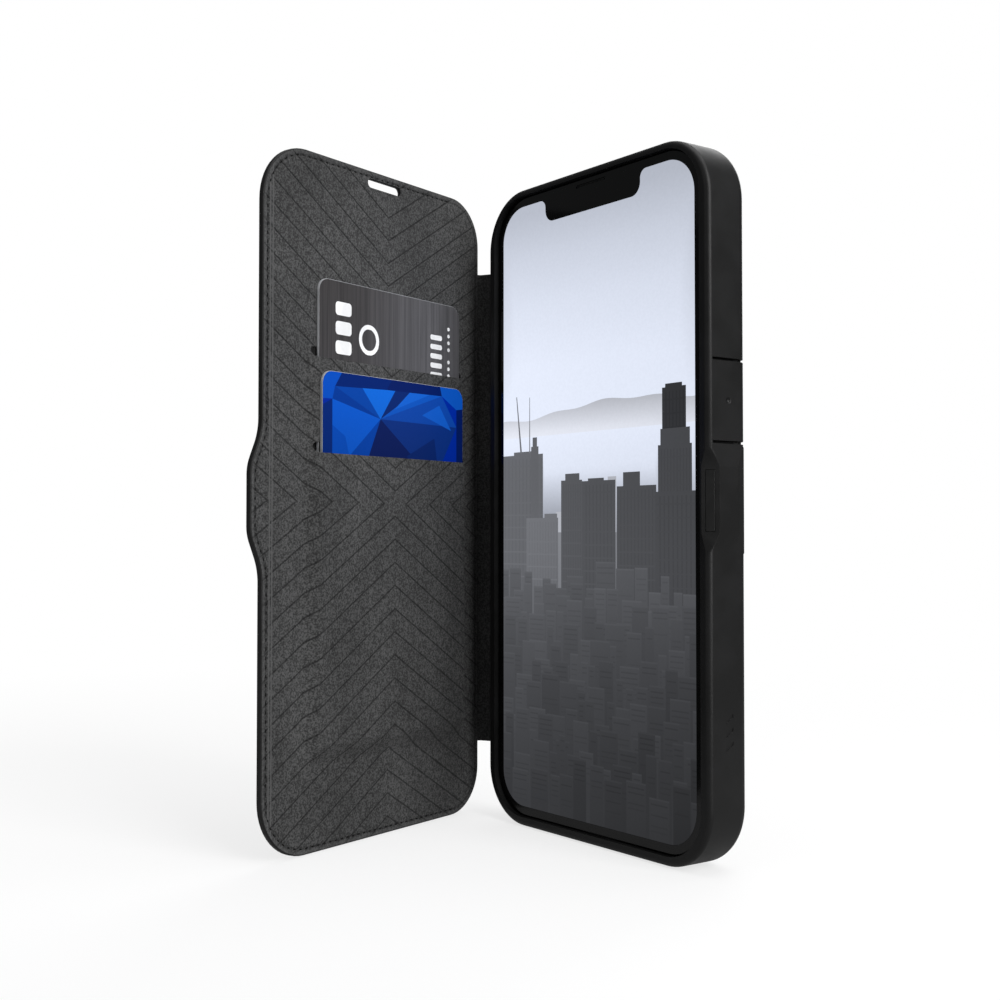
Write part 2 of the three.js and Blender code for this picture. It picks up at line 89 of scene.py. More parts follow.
PAD = dict(inner=38.9, recess=38.25, web=38, proud=0.25)
LATCH = dict(x0=38, x1=40.65, y1=1.5, top=7.2, bottom=-7.3, slope_top=11.8, slope_bottom=-12.1)
NOTCH_ENDS = 0.42  # the share of the notch's depth at the ends of its slopes
KEEPER = dict(width=2, thick=0.7, half_h=6.6, z=-0.3)
PORT = dict(half_w=7.5, y0=1.1, y1=6.9, speaker_x=19, speaker_half_w=6, speaker_half_y=1.7)

SPINE = dict(width=12.5, half_h=62.7, angle=210.1, y=10.05, lining=0.5)
COVER = dict(width=81.2, top=81.3, hinge=0.3, hinge_radius=11.5, free_radius=14, angle=-71.5)
TAB = dict(reach=3.5, flat=7.6, root=15.4)
CROWN = dict(rim=1.2, deep=2.3, reach=6.5, edge=0.35)
BOARD = (3.45, 74.85, FLOOR + 3.45, 75.65, 8.05)  # s and v from and to, and the corner radius
MAGNET = (75.55, 83.05, -5.05, 5.05, 0.8, 4)  # the same, and the steps in each corner
FOLD = dict(radius=0.9, bend=1.3, lap=7.6, tail=2.6)
EARPIECE = dict(z=76.45, width=10.8, height=0.7)
EARPIECE_SLOT = dict(s=39.5, v=78.3, width=12.6, height=2.3)
POCKET = dict(s0=7.6, s1=68.1, v0=-57.2, v1=60, radius=4)
CARD = dict(s=9.9, width=54, height=85.6, thick=0.76, radius=3.18)
CARDS = {"upper": dict(top=52.3, back=0.04), "lower": dict(top=30.6, back=1.2)}
SLOTS = [dict(v=33.6, rise=1.15), dict(v=11.35, rise=1.16)]
SLOT = dict(s0=9, s1=66, height=2.4)
SEAM = dict(inset=1.5, pitch=2, length=1.3, radius=0.2, start=11)
CREASES = (78.9, 78.1)
CHEVRON = dict(s=38.05, slope=0.605, first=3.1, pitch=5.65)
LINER = dict(inset=0.34, thick=0.3, grid=0.6)
BACKING = (-0.42, -0.62)  # the bonded layer's two faces
SKYLINE_FOOT = -72
OUTSIDE = SHELL["half_w"] + 1

# The camera's eye is in the shell's frame, and the lamps are in metres in the object's frame.
VIEW = dict(eye=(248.6, -208.9, -8), turn=(91.528, 0, 53.782), lens=49.14, sensor=36)
LIGHTS = {
    "key": dict(at=(0.8, 0.06, 0.45), size=(0.5, 0.8), watts=8),
    "top": dict(at=(0.1, 0.1, 1.0), size=(0.8, 0.8), watts=5),
    "front": dict(at=(0.1, -0.9, 0.5), size=(0.5, 0.5), watts=0.5),
    "back": dict(at=(-0.5, 0.8, 0.6), size=(0.6, 0.8), watts=4),
}

# ---- frames --------------------
glass_low, glass_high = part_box("phone_front_glass")
hinges = {j["name"]: Vector(j["pos_m"]) for j in frame["joints"] if "pos_m" in j}
SCREEN = Vector(((glass_low.x + glass_high.x) / 2, glass_low.y, (glass_low.z + glass_high.z) / 2))


def placed(origin, degrees=0):
    turn = Matrix.Rotation(math.radians(degrees), 4, "Z")
    return Matrix.Translation(origin) @ turn @ Matrix.Scale(MM, 4)


SHELL_FRAME = placed(SCREEN)
COVER_FRAME = placed(hinges["cover_hinge"], COVER["angle"])


# ---- outlines --------------------
def rounded(corners, steps=14):
    """Points round a polygon with an arc at each of its anticlockwise corners (x, y, radius)."""
    points = []
    for i, (x, y, radius) in enumerate(corners):
        here = Vector((x, y))
        before = (Vector(corners[i - 1][:2]) - here).normalized()
        after = (Vector(corners[(i + 1) % len(corners)][:2]) - here).normalized()
        half = before.angle(after) / 2
        middle = here + (before + after).normalized() * radius / math.sin(half)
        start = here + before * radius / math.tan(half) - middle
        end = here + after * radius / math.tan(half) - middle
        first = math.atan2(start.y, start.x)
        turn = (math.atan2(end.y, end.x) - first + math.pi) % (2 * math.pi) - math.pi
        for k in range(steps + 1):
            at = first + turn * k / steps
            points.append((middle.x + radius * math.cos(at), middle.y + radius * math.sin(at)))
    return np.array(points)


def rect(x0, x1, y0, y1, radius, steps=14):
    return rounded([(x0, y0, radius), (x1, y0, radius), (x1, y1, radius), (x0, y1, radius)], steps)


def pill(x, y, width, height, grow=0.0):
    w, h = width / 2 + grow, height / 2 + grow
    return rect(x - w, x + w, y - h, y + h, min(w, h) * 0.98, 10)


def upright(sizes, bottom, top, grow):
    """The rounded rectangle of a shell, phone or panel, with every side moved out by grow."""
    w, r = sizes["half_w"] + grow, sizes["radius"] + grow
    return rect(-w, w, bottom - grow, top + grow, r, 20)


def shell_outline(inset):
    return upright(SHELL, FLOOR, SHELL["top"], -inset)


def phone_outline(inset, sizes=PHONE):
    return upright(sizes, -sizes["half_h"], sizes["half_h"], -inset)


def panel_outline(grow):
    return upright(PANEL, PANEL["bottom"], PANEL["top"], grow)


def camera_outline(grow):
    w, h, r = CAMERA["half_w"] + grow, CAMERA["half_h"] + grow, CAMERA["radius"] + grow
    return rect(CAMERA["x"] - w, CAMERA["x"] + w, CAMERA["z"] - h, CAMERA["z"] + h, r)


def display_outline(inset):
    x, z, r = (DISPLAY[k] - inset for k in ("half_w", "half_h", "radius"))
    nx = DISPLAY["notch_half_w"] + inset
    nz = DISPLAY["half_h"] - DISPLAY["notch_depth"] - inset
    low = [(-x, -z, r), (x, -z, r), (x, z, r)]
    notch = [(nx, z, 2), (nx, nz, 3), (-nx, nz, 3), (-nx, z, 2)]
    return rounded([*low, *notch, (-x, z, r)])


def cover_outline(inset):
    slope = math.tan(math.atan2(TAB["reach"], TAB["root"] - TAB["flat"]) / 2) * inset
    s0, s1 = COVER["hinge"] + inset, COVER["width"] - inset
    v0, v1 = FLOOR + inset, COVER["top"] - inset
    root, flat, out = TAB["root"] - slope, TAB["flat"] - slope, s1 + TAB["reach"]
    hinge_r, free_r = COVER["hinge_radius"] - inset, COVER["free_radius"] - inset
    tab = [(s1, -root, 14), (out, -flat, 9), (out, flat, 9), (s1, root, 14)]
    ends = [(s1, v1, free_r), (s0, v1, hinge_r)]
    return rounded([(s0, v0, hinge_r), (s1, v0, free_r), *tab, *ends])


def earpiece_outline(longer=0.0, higher=0.0):
    e = EARPIECE_SLOT
    return pill(e["s"], e["v"], e["width"] + longer, e["height"] + higher)


def earpiece_hole(grow):
    return pill(0, EARPIECE["z"], EARPIECE["width"], EARPIECE["height"], grow)


def slot_outline(slot):
    middle = (SLOT["s0"] + SLOT["s1"]) / 2
    return pill(middle, slot["v"] + SLOT["height"] / 2, SLOT["s1"] - SLOT["s0"], SLOT["height"])


def volume_outline(v, grow):
    return pill(VOLUME["y"], v, VOLUME["width"], VOLUME["length"], grow)


# ---- meshes --------------------
def made(name, vertices, faces):
    mesh = bpy.data.meshes.new(name)
    mesh.from_pydata([tuple(map(float, v)) for v in vertices], [], faces)
    piece = bpy.data.objects.new(name, mesh)
    bpy.context.scene.collection.objects.link(piece)
    return piece


def reworked(piece, *steps):
    """The piece after each step on its mesh."""
    work = bmesh.new()
    work.from_mesh(piece.data)
    for step in steps:
        step(work)
    work.to_mesh(piece.data)
    work.free()
    return piece


def outward(piece):
    """Turns every face of a closed mesh outwards."""
    return reworked(piece, lambda work: bmesh.ops.recalc_face_normals(work, faces=work.faces))


def welding(distance):
    """A step that merges points closer than the distance."""
    return lambda work: bmesh.ops.remove_doubles(work, verts=work.verts, dist=distance)


def loft(name, rings, capped=True):
    """A closed body through rings of equally many points, capped or closed on itself."""
    count, last = len(rings[0]), len(rings) - 1
    faces = []
    for r in range(last if capped else last + 1):
        here, there = r * count, (r + 1) % len(rings) * count
        for i in range(count):
            j = (i + 1) % count
            faces.append((here + i, here + j, there + j, there + i))
    if capped:
        faces.append(tuple(range(count)))
        faces.append(tuple(range(last * count, (last + 1) * count)))
    return outward(made(name, np.vstack(rings), faces))


def level(outline, at, axis="y"):
    """An outline in (x, z), (y, z) or (x, y) at one place along the axis that it leaves out."""
    columns = [outline[:, 0], outline[:, 1]]
    columns.insert("xyz".index(axis), np.full(len(outline), float(at)))
    return np.column_stack(columns)


def quarter(steps):
    """Sine and cosine at even steps of a quarter turn."""
    angles = [math.pi / 2 * k / steps for k in range(steps + 1)]
    return [(math.sin(a), math.cos(a)) for a in angles]


def prism(name, outline, start, end, axis="y"):
    return loft(name, [level(outline, start, axis), level(outline, end, axis)])


def stacked(name, outline, stops, axis="y", capped=True):
    """A closed body through outline(grow) at each (grow, place along the axis)."""
    return loft(name, [level(outline(grow), at, axis) for grow, at in stops], capped)


def box(name, x0, x1, y0, y1, z0, z1):
    corners = np.array([(x0, z0), (x1, z0), (x1, z1), (x0, z1)])
    return prism(name, corners, y0, y1)


def baked(piece):
    """The piece with its modifiers applied."""
    shown = piece.evaluated_get(bpy.context.evaluated_depsgraph_get())
    mesh = bpy.data.meshes.new_from_object(shown)
    piece.modifiers.clear()
    piece.data = mesh
    return piece


def joined(piece, tools, how="DIFFERENCE"):
    """The piece cut by, joined to or kept within each tool, which are used up."""
    for tool in tools:
        step = piece.modifiers.new(how.lower(), "BOOLEAN")
        step.operation, step.solver, step.object = how, "EXACT", tool
        baked(piece)
        bpy.data.objects.remove(tool)
    return piece


def bonded(piece, other):
    """The piece with another closed body, which runs into it and is used up, in its mesh."""
    reworked(piece, lambda work: work.from_mesh(other.data))
    bpy.data.objects.remove(other)
    return piece


def softened(piece, width):
    """Rounds the sharp edges, as a mould or a sander leaves them."""
    thin = 1e-4
    reworked(piece, welding(thin),
             lambda work: bmesh.ops.dissolve_degenerate(work, edges=work.edges, dist=thin))
    step = piece.modifiers.new("edges", "BEVEL")
    step.width, step.segments = width, BEVEL["segments"]
    step.limit_method, step.angle_limit = "ANGLE", math.radians(BEVEL["sharper"])
    return baked(piece)


def turned(name, profile, x, z, segments=72):
    """A body turned about the y axis from a closed profile of (radius, y)."""
    rings = []
    for k in range(segments):
        a = 2 * math.pi * k / segments
        rings.append([(x + r * math.cos(a), y, z + r * math.sin(a)) for r, y in profile])
    return outward(reworked(loft(name, np.array(rings), capped=False), welding(1e-5)))


def finished(piece, place, material, nodes=(), body=None, sharp=32):
    """Puts a piece in the frame and gives it its shading, finish and body."""
    piece.data.transform(place)
    piece.data.polygons.foreach_set("use_smooth", [True] * len(piece.data.polygons))
    piece.data.set_sharp_from_angle(angle=math.radians(sharp))
    if not piece.data.materials:
        piece.data.materials.append(material)
    even = piece.modifiers.new("even shading", "WEIGHTED_NORMAL")
    even.keep_sharp = True
    baked(piece)
    if nodes:
        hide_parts(*nodes)
    if body:
        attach(piece, body)
    return piece


def on_shell(piece, material, node, body="shell"):
    return finished(piece, SHELL_FRAME, material, [node], body)


def on_phone(piece, material, node):
    return on_shell(piece, material, node, "phone")


# ---- flat pictures and sheets --------------------
def points_within(points, ring):
    """Which points lie inside a closed ring."""
    inside = np.zeros(len(points), bool)
    for (x0, y0), (x1, y1) in zip(ring, np.roll(ring, -1, 0)):
        if y0 == y1:
            continue
        crosses = (y0 > points[:, 1]) != (y1 > points[:, 1])
        at = x0 + (points[:, 1] - y0) / (y1 - y0) * (x1 - x0)
        inside ^= crosses & (points[:, 0] < at)
    return inside


def anticlockwise(ring):
    """A ring without repeated points, turned to run anticlockwise."""
    ring = np.asarray(ring, float)
    ring = ring[np.hypot(*(ring - np.roll(ring, 1, 0)).T) > 1e-4]
    x, y = ring.T
    return ring if np.dot(x, np.roll(y, -1)) > np.dot(y, np.roll(x, -1)) else ring[::-1]


def planar(outline, holes=(), inside=(), layers=()):
    """A triangulated flat region: its points, triangles and each triangle's last layer."""
    points, edges = [], []
    for ring in [anticlockwise(r) for r in [outline, *holes, *layers]]:
        first = len(points)
        points += [Vector(p) for p in ring]
        loop = list(range(first, first + len(ring)))
        edges += list(zip(loop, loop[1:] + loop[:1]))
    points += [Vector(p) for p in inside]
    spots, _, faces, *_ = delaunay_2d_cdt(points, edges, [], 1, 1e-5)
    spots = np.array([tuple(p) for p in spots])
    middles = np.array([spots[f].mean(0) for f in faces])
    keep = points_within(middles, outline)
    for hole in holes:
        keep &= ~points_within(middles, hole)
    owner = np.full(len(faces), -1)
    for number, ring in enumerate(layers):
        owner[points_within(middles, np.asarray(ring))] = number
    kept = [f for f, k in zip(faces, keep) if k]
    used = sorted({i for f in kept for i in f})
    new = {old: i for i, old in enumerate(used)}
    return spots[used], [[new[i] for i in f] for f in kept], owner[keep]


def slab(name, spots, faces, top, bottom):
    """A closed sheet over a flat region; top and bottom are one height each, or one per point."""
    count = len(spots)
    high, low = (np.column_stack((spots[:, 0], np.broadcast_to(n, count), spots[:, 1]))
                 for n in (top, bottom))
    below = [tuple(count + i for i in reversed(f)) for f in faces]
    edges = dict.fromkeys(edge for f in faces for edge in zip(f, f[1:] + f[:1]))
    walls = [(b, a, a + count, b + count) for a, b in edges if (b, a) not in edges]
    return outward(made(name, np.vstack((high, low)), [tuple(f) for f in faces] + below + walls))


def coloured(piece, layers, paint):
    """Stores a colour at each corner of the picture's faces, which come first in the mesh."""
    mesh = piece.data
    store = mesh.color_attributes.new("picture", "FLOAT_COLOR", "CORNER")
    values = np.zeros((len(mesh.loops), 4), np.float32)
    values[:, 3] = 1
    for face, layer in zip(mesh.polygons, layers):
        for loop in face.loop_indices:
            x, _, z = mesh.vertices[mesh.loops[loop].vertex_index].co
            values[loop, :3] = paint(layer, x, z)
    store.data.foreach_set("color", values.ravel())


def smooth(x, start, end):
    t = np.clip((np.asarray(x, float) - start) / (end - start), 0, 1)
    return t * t * (3 - 2 * t)


def linear(level_255):
    """A display level from 0 to 255 as scene light."""
    share = np.asarray(level_255, float) / 255
    return np.where(share < 0.04045, share / 12.92, ((share + 0.055) / 1.055) ** 2.4)


# ---- materials --------------------
def add(tree, kind, inputs=None, **settings):
    node = tree.nodes.new("ShaderNode" + kind)
    for key, value in settings.items():
        setattr(node, key, value)
    for key, value in (inputs or {}).items():
        if isinstance(value, bpy.types.NodeSocket):
            tree.links.new(value, node.inputs[key])
        else:
            node.inputs[key].default_value = value
    return node


def math_node(tree, operation, a, b=0.0):
    return add(tree, "Math", {0: a, 1: b}, operation=operation).outputs[0]


def vector_node(tree, operation, a, b):
    return add(tree, "VectorMath", {0: a, 1: b}, operation=operation).outputs[0]


def off_line(tree, value, at):
    """How far a value is from a place."""
    return math_node(tree, "ABSOLUTE", math_node(tree, "SUBTRACT", value, at))


def weighted(tree, a, share_a, b, share_b):
    return math_node(tree, "ADD", math_node(tree, "MULTIPLY", a, share_a),
                     math_node(tree, "MULTIPLY", b, share_b))


def mixed(tree, factor, a, b):
    node = add(tree, "Mix", {"Factor": factor, 6: a, 7: b}, data_type="RGBA")
    return node.outputs[2]


def stepped(tree, value, start, end, low=0.0, high=1.0):
    node = add(tree, "MapRange", {"Value": value}, interpolation_type="SMOOTHSTEP")
    ends = {"From Min": start, "From Max": end, "To Min": low, "To Max": high}
    for key, value in ends.items():
        node.inputs[key].default_value = value
    return node.outputs["Result"]


def grey(value, tint=(1, 1, 1)):
    return tuple(value * t for t in tint) + (1.0,)


def surface(name, **constants):
    """A material, its node tree and its principled shader with these constants on it."""
    material = bpy.data.materials.new(name)
    material.use_nodes = True
    tree = material.node_tree
    shader = tree.nodes["Principled BSDF"]
    for key, value in constants.items():
        shader.inputs[key.replace("_", " ")].default_value = value
    return material, tree, shader


def noise(tree, scale, detail=4.0, stretch=(1, 1, 1)):
    """Noise over the object's own coordinates; scale is in cells per metre."""
    where = add(tree, "TexCoord").outputs["Object"]
    spread = add(tree, "Mapping", {"Vector": where, "Scale": stretch})
    inputs = {"Vector": spread.outputs[0], "Scale": scale, "Detail": detail, "Roughness": 0.6}
    return add(tree, "TexNoise", inputs).outputs["Fac"]


def bumped(tree, shader, height, distance, strength=1.0, onto=None):
    inputs = {"Height": height, "Distance": distance, "Strength": strength}
    if onto is not None:
        inputs["Normal"] = onto
    normal = add(tree, "Bump", inputs).outputs["Normal"]
    tree.links.new(normal, shader.inputs["Normal"])
    return normal


def based(tree, shader, colour):
    tree.links.new(colour, shader.inputs["Base Color"])


def spotted(tree, shader, fac, dark, light):
    based(tree, shader, mixed(tree, stepped(tree, fac, 0.35, 0.65), dark, light))


def rough(tree, shader, fac, low, high):
    tree.links.new(stepped(tree, fac, 0.3, 0.7, low, high), shader.inputs["Roughness"])


def rubber():
    material, tree, shader = surface("rubber", Specular_IOR_Level=0.26)
    fine, broad, shade = noise(tree, 9000, 3), noise(tree, 90, 4), 0.006
    spotted(tree, shader, broad, grey(shade * 0.86), grey(shade * 1.16, (1, 1, 1.03)))
    rough(tree, shader, broad, 0.41, 0.49)
    bumped(tree, shader, fine, 0.00001, 0.5)
    return material


def leather():
    material, tree, shader = surface("leather", Specular_IOR_Level=0.25)
    where = add(tree, "TexCoord").outputs["Object"]
    warp = add(tree, "TexNoise", {"Vector": where, "Scale": 700, "Detail": 3})
    bend = vector_node(tree, "MULTIPLY", warp.outputs["Color"], (0.0006,) * 3)
    moved = vector_node(tree, "ADD", where, bend)
    cells = {"Vector": moved, "Scale": 1250, "Smoothness": 0.5}
    pebbles = add(tree, "TexVoronoi", cells, feature="SMOOTH_F1").outputs["Distance"]
    pores = noise(tree, 5200, 4)
    broad = noise(tree, 60, 5)
    spotted(tree, shader, broad, grey(0.0065), grey(0.0095, (1, 1, 1.02)))
    rough(tree, shader, pores, 0.44, 0.62)
    dome = stepped(tree, pebbles, 0.0, 0.75, 1, 0)
    first = bumped(tree, shader, dome, 0.00005, 0.7)
    bumped(tree, shader, pores, 0.00001, 0.6, first)
    return material


def nap_colour(tree, dark, light):
    """A short nap's mottled colour: fine bright fibre ends over broad brushed patches."""
    fibres = noise(tree, 2300, 3)
    clumps = noise(tree, 900, 4)
    brushed = noise(tree, 55, 4, (1, 1, 0.5))
    both = weighted(tree, fibres, 0.7, clumps, 0.3)
    speck = mixed(tree, stepped(tree, both, 0.4, 0.62), dark, light)
    patch = stepped(tree, brushed, 0.3, 0.75, 0.84, 1.2)
    return vector_node(tree, "MULTIPLY", speck, patch), both


NAP = dict(Specular_IOR_Level=0.12, Roughness=0.95, Sheen_Weight=0.05, Sheen_Roughness=0.5)


def microfibre(name="microfibre", share=1.0):
    material, tree, shader = surface(name, **NAP)
    colour, height = nap_colour(tree, grey(0.026 * share), grey(0.066 * share))
    based(tree, shader, colour)
    bumped(tree, shader, height, 0.00006, 0.6)
    return material


def line_mask(tree, distance, half, blur):
    """1 on a line and 0 away from it, from the distance to it."""
    return stepped(tree, distance, half, half + blur, 1, 0)


def liner_fabric():
    """The cover's liner: nap with pressed chevrons, folds, and a sewn channel round the edge, with
    painted shade in the chevrons and channel and painted highlights on the folds and the edge.
    """
    material, tree, shader = surface("liner_fabric", **NAP)
    flat = add(tree, "Attribute", attribute_name="flat_mm").outputs["Vector"]
    s, edge, v = add(tree, "SeparateXYZ", {0: flat}).outputs
    colour, height = nap_colour(tree, grey(0.027), grey(0.081))

    slope, pitch = CHEVRON["slope"], CHEVRON["pitch"]
    rise = math_node(tree, "MULTIPLY", off_line(tree, s, CHEVRON["s"]), slope)
    run = math_node(tree, "SUBTRACT", math_node(tree, "ABSOLUTE", v), rise)
    shifted = math_node(tree, "SUBTRACT", run, CHEVRON["first"] - pitch / 2)
    off = off_line(tree, math_node(tree, "FLOORED_MODULO", shifted, pitch), pitch / 2)
    across = math.cos(math.atan(slope))
    chevron = line_mask(tree, math_node(tree, "MULTIPLY", off, across), 0.1, 0.2)
    channel = line_mask(tree, off_line(tree, edge, SEAM["inset"]), 0.1, 0.4)
    first_fold, last_fold = (line_mask(tree, off_line(tree, s, at), 0.06, 0.26) for at in CREASES)
    folds = math_node(tree, "MAXIMUM", first_fold, last_fold)

    # Painted shade: the pressed chevrons and the sewn channel are darkened as shade in their
    # grooves.
    dark = math_node(tree, "MAXIMUM", math_node(tree, "MULTIPLY", chevron, 0.62),
                     math_node(tree, "MULTIPLY", channel, 0.35))
    pressed = mixed(tree, dark, colour, grey(0.006))
    # Painted highlights: the two folds and a band along the liner's edge are lightened as light
    # catching their ridges.
    band = stepped(tree, edge, 0.5, 1.3, 0.3, 0)
    light = math_node(tree, "MAXIMUM", math_node(tree, "MULTIPLY", folds, 0.8), band)
    with_painted_highlights = mixed(tree, light, pressed, grey(0.095))
    based(tree, shader, with_painted_highlights)
    first = bumped(tree, shader, height, 0.00006, 0.6)
    sunk = math_node(tree, "SUBTRACT", folds, math_node(tree, "ADD", chevron, channel))
    bumped(tree, shader, sunk, 0.00008, 1.0, first)
    return material


def plain(name, shade, roughness, tint=(1, 1, 1), grain=6000, depth=0.00001, **constants):
    """A moulded or coated finish: slight mottling, uneven gloss and a fine grain."""
    material, tree, shader = surface(name, **constants)
    broad, fine = noise(tree, 120, 4), noise(tree, grain, 3)
    spotted(tree, shader, broad, grey(shade * 0.9, tint), grey(shade * 1.1, tint))
    rough(tree, shader, broad, roughness * 0.88, roughness * 1.12)
    bumped(tree, shader, fine, depth, 0.4)
    return material


def brushed_metal():
    material, tree, shader = surface("brushed_card", Metallic=0.5, Specular_IOR_Level=0.4)
    streaks = noise(tree, 3600, 5, (1, 1, 0.012))
    bands = noise(tree, 700, 4, (1, 1, 0.02))
    both = weighted(tree, streaks, 0.5, bands, 0.5)
    # Painted light and shade: the face is painted lighter towards the hinge and darker towards the
    # free edge, as the lamps fall across the card.
    where = add(tree, "TexCoord").outputs["Object"]
    across = add(tree, "SeparateXYZ", {0: where}).outputs[0]
    lean = MM * math.cos(math.radians(COVER["angle"]))
    far, near = (hinges["cover_hinge"].x + lean * s for s in (58, 12))
    share = stepped(tree, across, near, far)
    dark = mixed(tree, share, grey(0.105, (1.02, 1, 1.05)), grey(0.03, (1.1, 1, 0.98)))
    light = mixed(tree, share, grey(0.17, (1.02, 1, 1.05)), grey(0.062, (1.1, 1, 0.98)))
    colour = mixed(tree, stepped(tree, both, 0.36, 0.64), dark, light)
    based(tree, shader, colour)
    rough(tree, shader, streaks, 0.42, 0.58)
    bumped(tree, shader, streaks, 0.00001, 0.5)
    return material


def picture_surface(name, glow, base, **constants):
    """Shows the colours stored on a picture's mesh, lit and partly glowing: the screen's own light,
    and on the printed card a painted glow.
    """
    material, tree, shader = surface(name, **constants)
    colour = add(tree, "VertexColor", layer_name="picture").outputs["Color"]
    grain = noise(tree, 1500, 2)
    varied = vector_node(tree, "MULTIPLY", colour, stepped(tree, grain, 0.3, 0.7, 0.985, 1.015))
    dimmed = vector_node(tree, "MULTIPLY", varied, (base,) * 3)
    based(tree, shader, dimmed)
    tree.links.new(varied, shader.inputs["Emission Color"])
    shader.inputs["Emission Strength"].default_value = glow
    return material


RUBBER = rubber()
LEATHER = leather()
MICROFIBRE = microfibre()
LINER_FABRIC = liner_fabric()
# The slot fabric is made dark as painted shade inside the card slots.
SLOT_SHADE_FABRIC = microfibre("slot_painted_shade", 0.3)
STEEL = plain("black_steel", 0.02, 0.34, Metallic=0.6)
THREAD = plain("waxed_thread", 0.004, 0.7, grain=9000, depth=0.00003, Specular_IOR_Level=0.1)
BOARD_FINISH = plain("pressed_board", 0.16, 0.9, (1, 0.93, 0.82), grain=2500, depth=0.00005)
PLATE_PLASTIC = plain("plate_plastic", 0.02, 0.45)
PHONE_METAL = plain("phone_metal", 0.09, 0.28, (0.95, 1, 1.08), Metallic=0.9)
BLACK_GLASS = plain("black_glass", 0.0012, 0.12, grain=300, depth=0.000001, Specular_IOR_Level=0.3)
LENS_GLASS = plain("lens_glass", 0.002, 0.05, (0.8, 0.9, 1.3), grain=300, depth=0.000001,
                   Coat_Weight=1.0, Coat_Roughness=0.02)
PHONE_BACK = plain("phone_back", 0.035, 0.34, (0.92, 1, 1.12), Coat_Weight=0.3)
FLASH = plain("flash_plastic", 0.72, 0.3, (1, 0.95, 0.8), grain=1500, depth=0.00003)
CARD_METAL = brushed_metal()
# The card edges' light grey is partly the bare edge and partly a painted highlight.
CARD_RIM = plain("card_rim", 0.34, 0.45, (0.98, 1, 1.04))
WHITE_PRINT = plain("white_print", 0.85, 0.5, grain=4000)
# The printed card glows as painted light, which keeps its blues bright.
BLUE_PRINT_PAINTED_GLOW = picture_surface("blue_print_painted_glow", 0.68, 0.3, Roughness=0.4, Specular_IOR_Level=0.03)
SCREEN_PICTURE = picture_surface("screen_picture", 1.0, 0.0, Roughness=0.2, Specular_IOR_Level=0.04)


# ---- shell --------------------
def shell_body(name):
    """The shell's outside: flat walls with both long edges rounded."""
    (near, y0), (far, y1) = ((ROUND[k], SHELL[k]) for k in ("front", "back"))
    stops = [(near * (1 - sine), y0 + near * (1 - cosine)) for sine, cosine in quarter(10)]
    stops += [(far * (1 - cosine), y1 - far * (1 - sine)) for sine, cosine in quarter(10)]
    return stacked(name, shell_outline, stops)


def latch_notch():
    """The chamfer in the right wall's front edge under the cover's tab, with its tapered ends."""
    front, far = SHELL["front"], LATCH["x1"] + 2

    def section(share):
        x = LATCH["x1"] - (LATCH["x1"] - LATCH["x0"]) * share
        return np.array([(x, front), (x, front - 2), (far, front - 2), (far, front + far - x)])

    stops = [("slope_bottom", NOTCH_ENDS), ("bottom", 1), ("top", 1), ("slope_top", NOTCH_ENDS)]
    return loft("notch", [level(section(share), LATCH[key], "z") for key, share in stops])


def latch_swelling():
    """The slight swelling of the right wall round the notch."""
    stops = [
        (40.8, (1.1, 7.2, -6.3, 6.6)),
        (40.72, (0.8, 7.7, -7.0, 7.3)),
        (40.12, (-0.1, 9.7, -11.9, 11.6)),
        (38.6, (-0.8, 10.3, -12.6, 11.95)),
    ]
    return loft("swelling", [level(rect(*sides, 0.4, 4), x, "x") for x, sides in stops])


def side_mark():
    """Three slanted bars low on the right wall."""
    bars = []
    for z in (-47, -50, -53):
        bar = np.array([(3.8, z - 1.2), (6, z), (6, z + 0.8), (3.8, z - 0.4)])
        bars.append(prism("bar", bar, SHELL["half_w"] - 0.15, OUTSIDE, "x"))
    return bars


def port_cuts():
    """The charging port's opening and the two speaker slots in the lower wall."""
    y0, y1, start, end = PORT["y0"], PORT["y1"], FLOOR - 1, -CAVITY["half_h"] + 1
    cuts = [prism("port", rect(-PORT["half_w"], PORT["half_w"], y0, y1, 1), start, end, "z")]
    for x in (-PORT["speaker_x"], PORT["speaker_x"]):
        outline = pill(x, (y0 + y1) / 2, 2 * PORT["speaker_half_w"], 2 * PORT["speaker_half_y"])
        cuts.append(prism("speaker", outline, start, end, "z"))
    return cuts


def keeper_box(name, grow, front=0.0):
    """The keeper plate's place, flat in the middle of the latch's slanted face."""
    depth = KEEPER["thick"] + grow + front
    half_w, half_h = KEEPER["width"] / 2 + grow, KEEPER["half_h"] + grow
    piece = box(name, -half_w, half_w, PLAY - front, PLAY - front + depth,
                KEEPER["z"] - half_h, KEEPER["z"] + half_h)
    lean = math.atan2(LATCH["y1"] - SHELL["front"], LATCH["x1"] - LATCH["x0"])
    middle = ((LATCH["x0"] + LATCH["x1"]) / 2, (SHELL["front"] + LATCH["y1"]) / 2, 0)
    piece.data.transform(Matrix.Translation(middle) @ Matrix.Rotation(lean, 4, "Z"))
    return piece


def bumper():
    """The flexible frame: a rounded wall with a raised front lip, cut for all that sits in it."""
    body = joined(shell_body("bumper"), [latch_swelling()], "UNION")
    past, flap = SHELL["back"] + 1, SPINE["half_h"] + 0.6
    seat = shell_outline(PLATE["inset"] - PLAY)
    cuts = [
        prism("cavity", phone_outline(0, CAVITY), SHELL["front"] - 1, PLATE["front"]),
        prism("seat", seat, PLATE["front"] - PLAY, PLATE["back"] + PLAY),
        prism("recess", panel_outline(0.1), PLATE["back"], past),
        box("flap_way", -OUTSIDE, -PANEL["half_w"], PLATE["back"], past, -flap, flap),
        box("pad_way", PAD["recess"], OUTSIDE, POWER["front"], 12, POWER["bottom"], POWER["top"]),
        latch_notch(),
        keeper_box("keeper_way", PLAY, 1),
    ]
    for v in VOLUME["levels"].values():
        cuts.append(prism("volume_way", volume_outline(v, 0.2), -OUTSIDE, -PAD["recess"], "x"))
    joined(body, cuts + port_cuts() + side_mark())
    on_shell(softened(body, 0.22), RUBBER, "bumper_frame")


